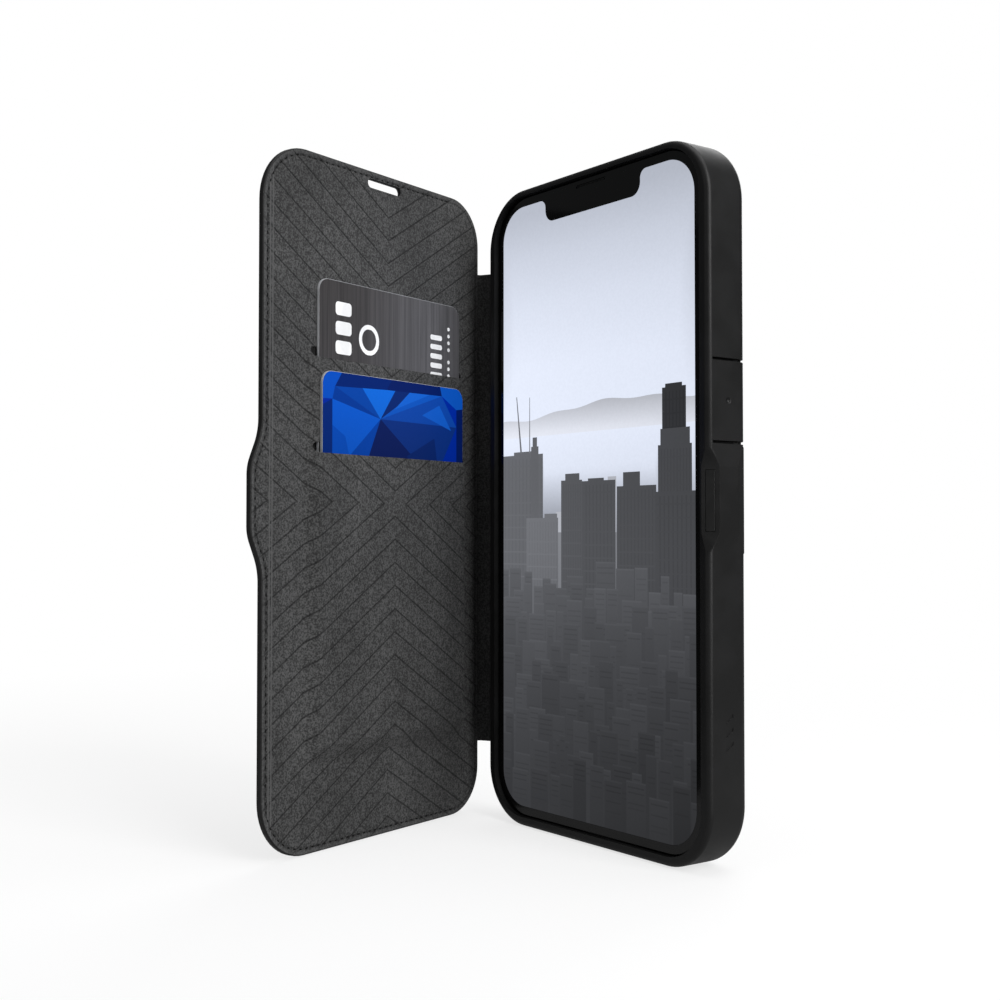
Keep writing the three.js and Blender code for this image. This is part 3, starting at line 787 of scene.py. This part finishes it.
def power_pad():
    """The button's pad, between two grooves, with a web where it joins the wall."""
    bottom, top = POWER["bottom"] + POWER["gap"], POWER["top"] - POWER["gap"]
    piece = box("slice", PAD["web"], OUTSIDE, POWER["front"] - 0.4, 15, bottom, top)
    pad = joined(shell_body("power_pad"), [piece], "INTERSECT")
    profile = [(0, -0.42), (0.35, -0.34), (0.6, -0.16), (0.78, 0.1), (0.85, 0.4), (0, 0.4)]
    dimple = turned("dimple", profile, 0, 0, 32)
    turn = Matrix.Rotation(math.radians(-90), 4, "Z")
    at = Matrix.Translation((SHELL["half_w"], POWER["dimple_y"], POWER["dimple_z"]))
    dimple.data.transform(at @ turn)
    joined(pad, [dimple])
    softened(pad, 0.14)
    pad.data.transform(Matrix.Translation((POWER["proud"], 0, 0)))
    finished(pad, SHELL_FRAME, RUBBER, ["power_button_pad"])
    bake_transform(pad)


def volume_pads():
    outer = -SHELL["half_w"] - PAD["proud"]
    stops = [(0, -PAD["inner"]), (0, outer + 0.3), (-0.08, outer + 0.12), (-0.35, outer)]
    for name, v in VOLUME["levels"].items():
        pad = stacked(name + "_key", lambda grow: volume_outline(v, grow), stops, "x")
        on_shell(pad, RUBBER, name + "_pad", name)


def latch_keeper():
    on_shell(softened(keeper_box("keeper", 0), 0.12), STEEL, "latch_keeper")


def camera_guard():
    """The raised ring that keeps the lenses off a table."""
    stops = [(1.4, 8.5), (1.4, 10.05), (2.6, 10.05), (2.6, 11.35), (2.48, 11.7), (2.2, 11.92),
             (1.8, 12), (1.1, 12), (0.75, 11.9), (0.55, 11.65), (0.5, 11.3), (0.5, 8.5)]
    guard = stacked("guard_ring", camera_outline, stops, capped=False)
    on_shell(guard, RUBBER, "camera_guard")


# ---- phone --------------------
def phone_body():
    stops = [(0.5, 0.12), (0.24, 0.2), (0.07, 0.4), (0, 0.75), (0, 7.15), (0.07, 7.5), (0.24, 7.7),
             (0.5, PHONE["back"] - 0.12)]
    body = stacked("phone_body", phone_outline, stops)
    seat, back = phone_outline(GLASS["inset"] - PLAY), PHONE["back"] - GLASS["thick"]
    socket, below = rect(-4.4, 4.4, 2.65, 5.35, 1.3), -PHONE["half_h"] - 1.05
    holes = [pill(x, 4, 1.3, 1.3) for x in (-16, -12.5, -9, 9, 12.5, 16)]
    cuts = [prism("front_seat", seat, -1, 0.85), prism("back_seat", seat, back - PLAY, 9)]
    cuts.append(prism("socket", socket, below, below + 7, "z"))
    cuts += [prism("sound_hole", hole, below, below + 2.8, "z") for hole in holes]
    on_phone(joined(body, cuts), PHONE_METAL, "phone_frame")


def phone_glass():
    outline, thick, back = phone_outline(GLASS["inset"]), GLASS["thick"], PHONE["back"]
    spots, faces, _ = planar(outline, [display_outline(-PLAY), earpiece_hole(PLAY)])
    front = slab("bezel_glass", spots, faces, 0, thick)
    on_phone(front, BLACK_GLASS, "phone_front_glass")
    sheet = softened(prism("back_sheet", outline, back - thick, back), 0.1)
    on_phone(sheet, PHONE_BACK, "phone_back_glass")


def earpiece():
    """The slotted grille at the top of the screen."""
    grille = prism("earpiece_grille", earpiece_hole(0), 0.2, GLASS["thick"])
    slots = [prism("slot", pill(x, EARPIECE["z"], 0.28, 0.46), 0, 0.35)
             for x in np.arange(-4.8, 4.9, 0.48)]
    on_phone(joined(grille, slots), STEEL, "phone_earpiece")


def building(x0, x1, top, crown=()):
    """A tower's outline from below the screen up, with (left, right, top) steps on its roof."""
    points = [(x0, -90), (x1, -90), (x1, top)]
    for left, right, high in sorted(crown, reverse=True):
        points += [(right, top), (right, high), (left, high), (left, top)]
    return np.array([*points, (x0, top)])


def skyline():
    """The screen's layers from the back: outline, foot, light at the foot, light at the top."""
    layers = []
    ridge = [(-41, 17), (41, 17)]
    for x in np.arange(40, -41, -2.0):
        swell = 1.1 * math.sin(x * 0.085 + 0.9) + 0.35 * math.sin(x * 0.33)
        ridge.append((x, 22.9 + swell + 0.02 * x))
    layers.append((np.array(ridge), 17.5, 231, 186))
    for x0, x1, top in [(-9, -6.5, 3), (-3, 0.5, 1), (-13.5, -10.5, -2), (21, 24, 2), (6, 9, 6)]:
        layers.append((building(x0, x1, top), SKYLINE_FOOT, 120, 178))
    layers.append((building(-36, 36, -7), SKYLINE_FOOT, 70, 128))
    towers = [
        (building(-36, -18.6, 12.6, [(-30.6, -21, 13.4)]), 74, 100, 1.5),
        (np.array([(-27.9, 13), (-27.2, 13), (-29.3, 27.5), (-29.6, 27.5)]), 110, 104, 0),
        (np.array([(-24.2, 13), (-23.8, 13), (-23.9, 27), (-24.1, 27)]), 120, 112, 0),
        (building(-23.4, -20.4, 14.5, [(-22.8, -21, 16.8)]), 84, 96, 0),
        (building(-25.4, -12.6, -3.4, [(-18, -13, -2.4)]), 70, 108, 1.1),
        (building(-11.4, -3.4, 5.6, [(-9.8, -4.4, 7.2)]), 64, 86, 0.9),
        (building(-3.4, 8.7, 5.2, [(-1.2, 4.6, 5.8)]), 62, 82, 1.3),
        (building(9.2, 22.6, 3.6, [(11.4, 17.2, 6.8)]), 62, 80, 1.2),
        (building(24.6, 32.2, 25.2, [(25.6, 31, 26)]), 66, 58, 1.1),
        (building(23.2, 34, 12.4, [(24, 33.4, 16)]), 66, 78, 1.0),
        (building(22.2, 40, 2), 64, 76, 1.4),
    ]
    for outline, low, high, bay in towers:
        layers.append((outline, SKYLINE_FOOT, low, high))
        if bay:
            layers += facade_lines(outline, low, high, bay)
    return layers + near_city()


def facade_lines(outline, low, high, bay):
    """Faint upright bays and floor bands on a tower's front."""
    x0, x1, top = outline[0][0], outline[1][0], outline[2][1]
    bays = [rect_corners(x, x + 0.3 * bay, -60, top - 1)
            for x in np.arange(x0 + bay, x1 - 0.4, bay)]
    bands = [rect_corners(x0 + 0.4, x1 - 0.4, z, z + 0.35) for z in np.arange(top - 3, -20, -3.1)]
    lines = [(line, SKYLINE_FOOT, low - 3, high - 5) for line in bays]
    return lines + [(line, SKYLINE_FOOT, low + 2, high - 3) for line in bands]


def rect_corners(x0, x1, z0, z1):
    return np.array([(x0, z0), (x1, z0), (x1, z1), (x0, z1)])


def near_city():
    """Rows of low roofs that sink into the haze, with lit edges and rows of faint windows."""
    rng = np.random.default_rng(11)
    layers = []
    for row in range(11):
        depth, x = row / 10, -38 + rng.uniform(0, 4)
        while x < 35:
            width, top = rng.uniform(2.2, 7), -17 - 47 * depth + rng.uniform(-4, 3.5)
            shade = 82 - 24 * depth + rng.uniform(-3, 4)
            layers.append((building(x, x + width, top), top - 14, shade - 8, shade))
            roof = rect_corners(x, x + width, top - 0.4, top)
            layers.append((roof, top - 1, shade + 3, shade + 4))
            for z in np.arange(top - 1.6, top - 8, -1.2):
                if rng.uniform() < 0.6:
                    line = rect_corners(x + 0.5, x + width - 0.5, z, z + 0.35)
                    layers.append((line, z - 1, shade - 9, shade - 6))
            x += width + rng.uniform(0, 1.5)
    return layers


def sky_level(z):
    """Sky light, which grows downwards into the fog and then sinks into the city's haze."""
    heights = [-80, -30, -12, 0, 8, 17, 34, 50, 62, 74]
    light = [55, 72, 110, 180, 230, 236, 235, 224, 209, 187]
    return np.interp(z, heights, light)


def display():
    region = display_outline(0)
    layers = skyline()
    inside = [(x, z) for x in np.arange(-34, 34.5, 4) for z in np.arange(-75, 75.5, 1.5)
              if abs(x) < 33 and abs(z) < 74 and not (abs(x) < 19 and z > 68)]
    spots, faces, owners = planar(region, (), inside, [outline for outline, *_ in layers])
    tops = [outline[:, 1].max() for outline, *_ in layers]
    tint = np.array([0.985, 1.0, 1.045])

    def paint(layer, x, z):
        if layer < 0:
            return linear(np.array([0.972, 1.0, 1.066]) * (sky_level(z) + 0.12 * (-x)))
        _, foot, low, high = layers[layer]
        share = np.clip((z - foot) / (tops[layer] - foot), 0, 1)
        haze = 7 * math.exp(-((z + 16) / 18) ** 2)
        return linear(tint * (low + (high - low) * share + haze - 0.2 * (x + 4)))

    panel = slab("screen", spots, faces, 0.02, GLASS["thick"])
    coloured(panel, owners, paint)
    on_phone(panel, SCREEN_PICTURE, "phone_display")


def camera_parts():
    """The phone's camera plateau, its three lenses and the flash."""
    stops = [(0, PHONE["back"] + PLAY), (0, 9), (-0.06, 9.15), (-0.2, 9.32), (-0.45, 9.4)]
    plateau = stacked("plateau", camera_outline, stops)
    on_phone(plateau, PHONE_BACK, "camera_plateau")
    ring = [(4.6, 9.45), (5.9, 9.45), (5.9, 10.6), (5.8, 10.83), (5.58, 10.95), (4.95, 10.95),
            (4.75, 10.85), (4.65, 10.6), (4.6, 10.3)]
    glass = [(0, 9.45), (4.5, 9.45), (4.5, 10.3), (3.9, 10.4), (2.6, 10.42), (2.5, 10.3),
             (1.6, 10.26), (1.5, 10.4), (0.9, 10.5), (0, 10.54)]
    for number, (dx, dz) in enumerate(LENSES, 1):
        x, z = CAMERA["x"] + dx, CAMERA["z"] + dz
        rim = turned(f"lens_rim_{number}", ring, x, z)
        on_phone(rim, PHONE_METAL, f"lens_{number}_ring")
        eye = turned(f"lens_eye_{number}", glass, x, z)
        on_phone(eye, LENS_GLASS, f"lens_{number}_glass")
    lamp = turned("flash_lamp", [(0, 9.45), (2.4, 9.45), (2.4, 9.62), (2.2, 9.72), (1.4, 9.7),
                                 (1.3, 9.78), (0, 9.8)], CAMERA["x"] + 7, CAMERA["z"] + 11.3)
    on_phone(lamp, FLASH, "camera_flash")


# ---- folding path --------------------
# Seen from above, the inner faces of back panel, spine and cover are one path, round at the hinges.
HINGE_A = SHELL_FRAME.inverted() @ hinges["spine_hinge"]
HINGE_B = SHELL_FRAME.inverted() @ hinges["cover_hinge"]


def heading(degrees):
    return np.array([math.cos(math.radians(degrees)), math.sin(math.radians(degrees))])


def folding_path():
    """Rows of (x, y, outward x, outward y, length along), 0 at the shell's hinge line."""
    turns = [(HINGE_A, 180, SPINE["angle"]), (HINGE_B, SPINE["angle"], 360 + COVER["angle"])]
    rows = []

    def straight(start, end, degrees, steps):
        out = heading(degrees - 90)
        for k in range(steps + 1):
            at = start + (end - start) * k / steps
            rows.append([*at, *out])

    here = np.array([HINGE_A.x + FOLD["lap"], HINGE_A.y])
    for hinge, before, after in turns:
        corner = np.array([hinge.x, hinge.y])
        reach = FOLD["radius"] * math.tan(math.radians(after - before) / 2)
        start = corner - heading(before) * reach
        middle = start + heading(before + 90) * FOLD["radius"]
        straight(here, start, before, 24)
        for k in range(1, 12):
            at = before + (after - before) * k / 12
            rows.append([*(middle - heading(at + 90) * FOLD["radius"]), *heading(at - 90)])
        here = corner + heading(after) * reach
    straight(here, here + heading(after) * FOLD["tail"], after, 10)
    path = np.array(rows)
    step = np.hypot(*np.diff(path[:, :2], axis=0).T)
    along = np.concatenate(([0], np.cumsum(step)))
    zero = along[np.argmin(np.hypot(*(path[:, :2] - (HINGE_A.x, HINGE_A.y)).T))]
    return np.column_stack((path, along - zero))


PATH = folding_path()


def strip(name, first, last, inner, outer):
    """A band of leather or lining along the path, between inner(length) and outer(length)."""
    ends = [np.interp(at, PATH[:, 4], np.arange(len(PATH))) for at in (first, last)]
    where = [ends[0], *range(math.ceil(ends[0] + 0.01), math.ceil(ends[1] - 0.01)), ends[1]]
    rows = np.array([[np.interp(w, range(len(PATH)), c) for c in PATH.T] for w in where])
    base, out = rows[:, :2], rows[:, 2:4]
    low, high = (np.array([face(a) for a in rows[:, 4]])[:, None] for face in (inner, outer))
    half_h = SPINE["half_h"]
    edge = [(0, 0.2), (0.06, 0.09), (0.2, 0.0)]
    stops = [(shy, z - half_h) for z, shy in edge] + [(shy, half_h - z) for z, shy in edge[::-1]]

    def band(shy):
        return np.vstack((base + out * (low + shy), (base + out * (high - shy))[::-1]))

    return stacked(name, band, stops, "z")


def leather_outer(along):
    """The leather's outer face: thin at the folds and raised over the spine's stiffener."""
    width = SPINE["width"]
    raised = smooth(along, 0.6, 2.0) * (1 - smooth(along, width - 2.6, width - 1.4))
    return float(0.8 + 0.6 * raised + 0.35 * smooth(along, width + 0.1, width + 0.9))


def leather_inner(along):
    """The leather's inner face, which lies on the lining over the spine."""
    return float(0.02 + 0.46 * smooth(along, 0.4, 1.0))


MIDDLE = SPINE["width"] / 2
START = PATH[0, 4] + 0.1


def back_leather():
    """The shell's leather back, which runs on through the first fold to half of the spine."""
    stops = [(0, SPINE["y"]), (0, 10.5), (-0.06, 10.68), (-0.18, 10.8), (-0.36, SHELL["back"])]
    panel = stacked("back_leather", panel_outline, stops)
    joined(panel, [prism("camera_way", camera_outline(2.75), 9, 12)])
    softened(panel, 0.12)
    joined(panel, [strip("flap", START, MIDDLE, leather_inner, leather_outer)], "UNION")
    on_shell(panel, LEATHER, "back_panel", None)
    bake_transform(panel)


def spine_lining():
    last = SPINE["width"] + 0.62
    thick = SPINE["lining"] - PLAY
    lining = strip("fold_lining", 0.9, last, lambda _: 0.0, lambda _: thick)
    on_shell(lining, MICROFIBRE, "spine_lining", None)
    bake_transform(lining)


def cover_leather():
    """The cover's leather: crowned outside, a plain edge, and the fold to half of the spine."""
    rim, deep, reach, edge = (CROWN[k] for k in ("rim", "deep", "reach", "edge"))
    rings = [(reach * (1 - sine), -rim - (deep - rim) * cosine) for sine, cosine in quarter(10)]
    rings += [(edge * (1 - cosine), -PLAY - edge * (1 - sine)) for sine, cosine in quarter(5)]
    rings.append((edge, -0.66))
    ear_stops = [(5, (0, 0)), (-0.9, (0, 0)), (-2.4, (3, 0.5)), (-5, (3, 0.5))]
    cover = stacked("cover_leather", cover_outline, rings)
    joined(cover, [
        prism("board_way", rect(*BOARD), -1.7, 0),
        prism("magnet_way", rect(*MAGNET), -1.6, 0),
        loft("ear_way", [level(earpiece_outline(*grow), n) for n, grow in ear_stops]),
    ])
    fold = strip("fold", MIDDLE, PATH[-1, 4], leather_inner, leather_outer)
    fold.data.transform(COVER_FRAME.inverted() @ SHELL_FRAME)
    bonded(cover, fold)
    finished(cover, COVER_FRAME, LEATHER, ["cover_skin", "spine_skin"])
    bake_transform(cover)


# ---- cover --------------------
def edge_distance(spots):
    """Distance in from the cover's outline, for points near it."""
    ring = cover_outline(0)
    ring = np.vstack((ring, ring[:1]))
    found = np.full(len(spots), 1e9)
    for a, b in zip(ring[:-1], ring[1:]):
        run = b - a
        share = np.clip((spots - a) @ run / max(run @ run, 1e-12), 0, 1)
        found = np.minimum(found, np.hypot(*(spots - a - share[:, None] * run).T))
    return found


def pocket_height(s, v):
    """How far the liner stands off the cover: flat, over one card, or over both."""
    across = smooth(s, POCKET["s0"], 9.7) * (1 - smooth(s, 64.2, POCKET["s1"]))
    foot = smooth(v, POCKET["v0"] - 4, POCKET["v0"] + 1.5)
    height = sum(p["rise"] * (1 - smooth(v, p["v"], p["v"] + SLOT["height"])) for p in SLOTS)
    return height * across * foot


def pressed_outline(s, v):
    """The shallow line pressed round the pocket where its layers are bonded."""
    half_w, half_h = (POCKET["s1"] - POCKET["s0"]) / 2, (POCKET["v1"] - POCKET["v0"]) / 2
    x = np.abs(s - POCKET["s0"] - half_w) - half_w + POCKET["radius"]
    z = np.abs(v - POCKET["v0"] - half_h) - half_h + POCKET["radius"]
    outside = np.hypot(np.maximum(x, 0), np.maximum(z, 0)) + np.minimum(np.maximum(x, z), 0)
    return np.exp(-(((outside - POCKET["radius"]) / 0.45) ** 2))


def liner():
    """The fabric liner: one sheet with two card slots, raised over the cards below each slot."""
    outline = cover_outline(LINER["inset"])
    holes = [earpiece_outline(), *(slot_outline(p) for p in SLOTS)]
    step = LINER["grid"]
    grid = np.mgrid[1.2 : COVER["width"] + TAB["reach"] : step, FLOOR + 0.9 : COVER["top"] : step]
    inside = grid.reshape(2, -1).T
    within = points_within(inside, cover_outline(LINER["inset"] + 0.35))
    for hole in holes:
        middle = (hole.min(0) + hole.max(0)) / 2
        half = (hole.max(0) - hole.min(0)) / 2 + 0.2
        within &= (np.abs(inside - middle) > half).any(1)
    spots, faces, _ = planar(outline, holes, inside[within])
    s, v = spots.T
    sunk = np.exp(-(((edge_distance(spots) - SEAM["inset"]) / 0.4) ** 2))
    top = pocket_height(s, v) - 0.1 * pressed_outline(s, v) - 0.12 * sunk
    sheet = slab("liner_sheet", spots, faces, top, top - LINER["thick"])
    flat = sheet.data.attributes.new("flat_mm", "FLOAT_VECTOR", "POINT")
    both = np.column_stack((s, edge_distance(spots), v))
    flat.data.foreach_set("vector", np.vstack((both, both)).astype(np.float32).ravel())
    nodes = ["cover_liner", "pocket_panel_upper", "pocket_panel_lower"]
    finished(sheet, COVER_FRAME, LINER_FABRIC, nodes, "cover", sharp=50)


def liner_backing():
    """The bonded layer under the liner, made dark as painted shade where it shows in the ends of
    the card slots.
    """
    spots, faces, _ = planar(cover_outline(LINER["inset"] + 0.05), [earpiece_outline(0.1, 0.1)])
    backing = slab("liner_backing", spots, faces, *BACKING)
    finished(backing, COVER_FRAME, SLOT_SHADE_FABRIC, (), "cover")


def stitches():
    """Single stitches of waxed thread that dip into the liner at both ends."""
    ring = cover_outline(SEAM["inset"])
    ring = ring[ring[:, 0] >= SEAM["start"]]
    step = np.hypot(*np.diff(ring, axis=0).T)
    along = np.concatenate(([0], np.cumsum(step)))
    sides, stops = 8, 8
    vertices, faces = [], []
    for start in np.arange(0, along[-1] - SEAM["pitch"], SEAM["pitch"]):
        share = np.linspace(0, 1, stops + 1)
        at = start + share * SEAM["length"]
        path = np.column_stack([np.interp(at, along, c) for c in ring.T])
        lift = -0.36 + 0.23 * np.sin(math.pi * share) ** 0.7
        ahead = np.gradient(path, axis=0)
        ahead /= np.hypot(*ahead.T)[:, None]
        base = len(vertices)
        for p, a, n, t in zip(path, ahead, lift, share):
            wide = SEAM["radius"] * (0.72 + 0.28 * math.sin(math.pi * t))
            for k in range(sides):
                turn = 2 * math.pi * k / sides
                off, up = wide * math.cos(turn), 0.8 * wide * math.sin(turn)
                vertices.append((p[0] - a[1] * off, n + up, p[1] + a[0] * off))
        for r in range(base, base + stops * sides, sides):
            for k in range(sides):
                a, b = r + k, r + (k + 1) % sides
                faces.append((a, b, b + sides, a + sides))
        faces.append(tuple(range(base, base + sides)))
        faces.append(tuple(range(len(vertices) - sides, len(vertices))))
    seam = outward(made("stitches", vertices, faces))
    finished(seam, COVER_FRAME, THREAD, ["edge_stitching"], "cover", sharp=60)


# ---- cards --------------------
def card_outline(which, grow=0.0):
    top = CARDS[which]["top"]
    s0, s1 = CARD["s"] - grow, CARD["s"] + CARD["width"] + grow
    return rect(s0, s1, top - CARD["height"] - grow, top + grow, CARD["radius"] + grow)


def card_core(name, which):
    """The card without its printed face: rounded edges and a plain back, in a light grey that is
    partly the bare edge and partly a painted highlight. Gives its front.
    """
    back = CARDS[which]["back"]
    front = back + CARD["thick"]
    stops = [(-0.1, back), (0, back + 0.1), (0, front - 0.14), (-0.05, front - 0.05)]
    core = stacked(name, lambda grow: card_outline(which, grow), stops)
    finished(core, COVER_FRAME, CARD_RIM, ["card_" + which], which + "_card")
    return front


def metal_card():
    front = card_core("metal_card", "upper")
    face = prism("metal_card_face", card_outline("upper", -0.13), front - 0.05, front)
    finished(face, COVER_FRAME, CARD_METAL, (), "upper_card")
    marks = [rect(52.6, 58.2, v, v + 3.2, 0.9, 6) for v in (44.2, 39.6, 35)]
    marks += [rect(52.6, 58.2, 26, 33.2, 0.9, 6)]
    marks += [rect(17.4, 22.2, v, v + 1.3, 0.5, 6) for v in (42.6, 40.2, 37.8, 35.4, 33, 30.6)]
    marks += [pill(14.6, v, 1, 1) for v in (46, 44.2, 42.4, 40.6, 37.4, 35.6, 33.8, 32)]
    disc, hole = (pill(46.2, 39.5, size, size) for size in (7.4, 5.2))
    low, high = front - 0.02, front + 0.012
    ring = joined(prism("ring", disc, low, high), [prism("hole", hole, front - 1, front + 1)])
    whole = joined(ring, [prism("mark", mark, low, high) for mark in marks], "UNION")
    whole.name = "metal_card_marks"
    finished(whole, COVER_FRAME, WHITE_PRINT, (), "upper_card")


def facets():
    """The lower card's facets: a broken fan of blues about one point, inside a darker border."""
    hub = (43.2, 20.5)
    rim = [(60.5, 24.1), (59.6, 27.1), (50, 27.6), (37.6, 27.9), (30, 28), (18.9, 28.1),
           (12.7, 20.4), (22, 6), (50, 6), (60.5, 6)]
    blues = [(9, 84, 194), (3, 54, 142), (5, 64, 156), (15, 98, 205), (9, 38, 104), (14, 80, 180),
             (14, 66, 158), (12, 46, 120), (10, 28, 86), (3, 62, 158)]
    fan = [(np.array([hub, rim[i], rim[i - 1]]), blues[i]) for i in range(len(rim))]
    border = [
        ([(56.5, 31.5), (65, 31.5), (65, 24), (60.5, 24.1), (59.6, 27.1)], (6, 74, 180)),
        ([(56.5, 31.5), (38, 31.5), (41, 27.8), (59.6, 27.1)], (3, 34, 104)),
        ([(38, 31.5), (20, 31.5), (18.9, 28.1), (41, 27.8)], (5, 28, 92)),
        ([(20, 31.5), (9, 31.5), (9, 25.5), (12.7, 25), (18.9, 28.1)], (12, 78, 176)),
        ([(9, 25.5), (12.7, 25), (12.7, 4), (9, 4)], (5, 26, 88)),
        ([(60.5, 24.1), (65, 22), (65, 4), (60.5, 4)], (3, 38, 112)),
        ([(20, 25.6), (27, 22.6), (15, 19.4)], (18, 86, 188)),
        ([(32, 27.9), (24, 28), (38, 23.2)], (20, 92, 196)),
        ([(33, 12), (22, 17), (20, 6), (30, 6)], (9, 36, 100)),
        ([(56, 15.6), (60.5, 18), (60.5, 6), (53, 6)], (4, 72, 176)),
    ]
    return fan + [(np.array(points), blue) for points, blue in border]


def blue_card():
    front = card_core("blue_card", "lower")
    layers, outline = facets(), card_outline("lower", -0.13)
    spots, faces, owners = planar(outline, (), (), [points for points, _ in layers])

    def paint(layer, s, v):
        blue = np.array(layers[layer][1] if layer >= 0 else (2, 40, 150), float)
        return linear(blue * (0.92 + 0.14 * float(smooth(v, 6, 30))))

    face = slab("blue_card_face", spots, faces, front, front - 0.05)
    coloured(face, owners, paint)
    finished(face, COVER_FRAME, BLUE_PRINT_PAINTED_GLOW, (), "lower_card")


# ---- nodes that keep their CAD shape --------------------
def carried_over():
    finishes = {
        "back_plate": PLATE_PLASTIC,
        "shell_lining": MICROFIBRE,
        "spine_board": BOARD_FINISH,
        "cover_board": BOARD_FINISH,
        "tab_magnet": STEEL,
    }
    for name, finish in finishes.items():
        places = frame["nodes"][name].data.materials
        for i in range(len(places)):
            places[i] = finish


# ---- studio --------------------
def camera():
    data = bpy.data.cameras.new("camera")
    data.lens, data.sensor_width = VIEW["lens"], VIEW["sensor"]
    data.clip_start, data.clip_end = 0.01, 20
    eye = bpy.data.objects.new("camera", data)
    eye.location = SHELL_FRAME @ Vector(VIEW["eye"])
    eye.rotation_euler = [math.radians(a) for a in VIEW["turn"]]
    bpy.context.scene.collection.objects.link(eye)
    bpy.context.scene.camera = eye


def area_light(name, at, size, watts):
    """A lamp that faces the middle of the screen."""
    data = bpy.data.lights.new(name, "AREA")
    data.shape, (data.size, data.size_y), data.energy = "RECTANGLE", size, watts
    lamp = bpy.data.objects.new(name, data)
    lamp.location = at
    lamp.rotation_euler = (SCREEN - Vector(at)).to_track_quat("-Z", "Y").to_euler()
    bpy.context.scene.collection.objects.link(lamp)


def world():
    sky = bpy.data.worlds.new("studio")
    sky.use_nodes = True
    tree = sky.node_tree
    tree.nodes.clear()
    seen = add(tree, "Background", {"Color": (1, 1, 1, 1), "Strength": 1.0})
    fill = add(tree, "Background", {"Color": (0.96, 0.98, 1, 1), "Strength": 0.15})
    ray = add(tree, "LightPath").outputs["Is Camera Ray"]
    both = add(tree, "MixShader", {0: ray, 1: fill.outputs[0], 2: seen.outputs[0]})
    add(tree, "OutputWorld", {"Surface": both.outputs[0]})
    bpy.context.scene.world = sky


def floor():
    """A pale floor that takes a soft shadow near the object and fades into the studio's white."""
    size, sides = 3.0, 48
    circle = [(size * math.cos(a), size * math.sin(a), -0.0002)
              for a in np.linspace(0, 2 * math.pi, sides, endpoint=False)]
    ground = made("studio_floor", circle, [tuple(range(sides))])
    material, tree, shader = surface("studio_floor", Roughness=0.9, Specular_IOR_Level=0.1)
    shader.inputs["Base Color"].default_value = (0.92, 0.92, 0.92, 1)
    where = add(tree, "TexCoord").outputs["Object"]
    far = add(tree, "VectorMath", {0: where}, operation="LENGTH").outputs["Value"]
    ray = add(tree, "LightPath").outputs["Is Camera Ray"]
    strength = stepped(tree, ray, 0, 1, 0.3, 1)
    glow = add(tree, "Emission", {"Color": (1, 1, 1, 1), "Strength": strength})
    fade = stepped(tree, far, 0.05, 0.5, 0.72, 1)
    both = add(tree, "MixShader", {0: fade, 1: shader.outputs[0], 2: glow.outputs[0]})
    tree.links.new(both.outputs[0], tree.nodes["Material Output"].inputs["Surface"])
    ground.data.materials.append(material)


def studio():
    world()
    floor()
    for name, sizes in LIGHTS.items():
        area_light(name, **sizes)
    bpy.context.scene.view_settings.view_transform = "Standard"


PARTS = [
    camera, bumper, power_pad, volume_pads, latch_keeper, camera_guard, phone_body, phone_glass,
    earpiece, display, camera_parts, back_leather, spine_lining, cover_leather, liner,
    liner_backing, stitches, metal_card, blue_card, carried_over, studio,
]
for build in PARTS:
    build()
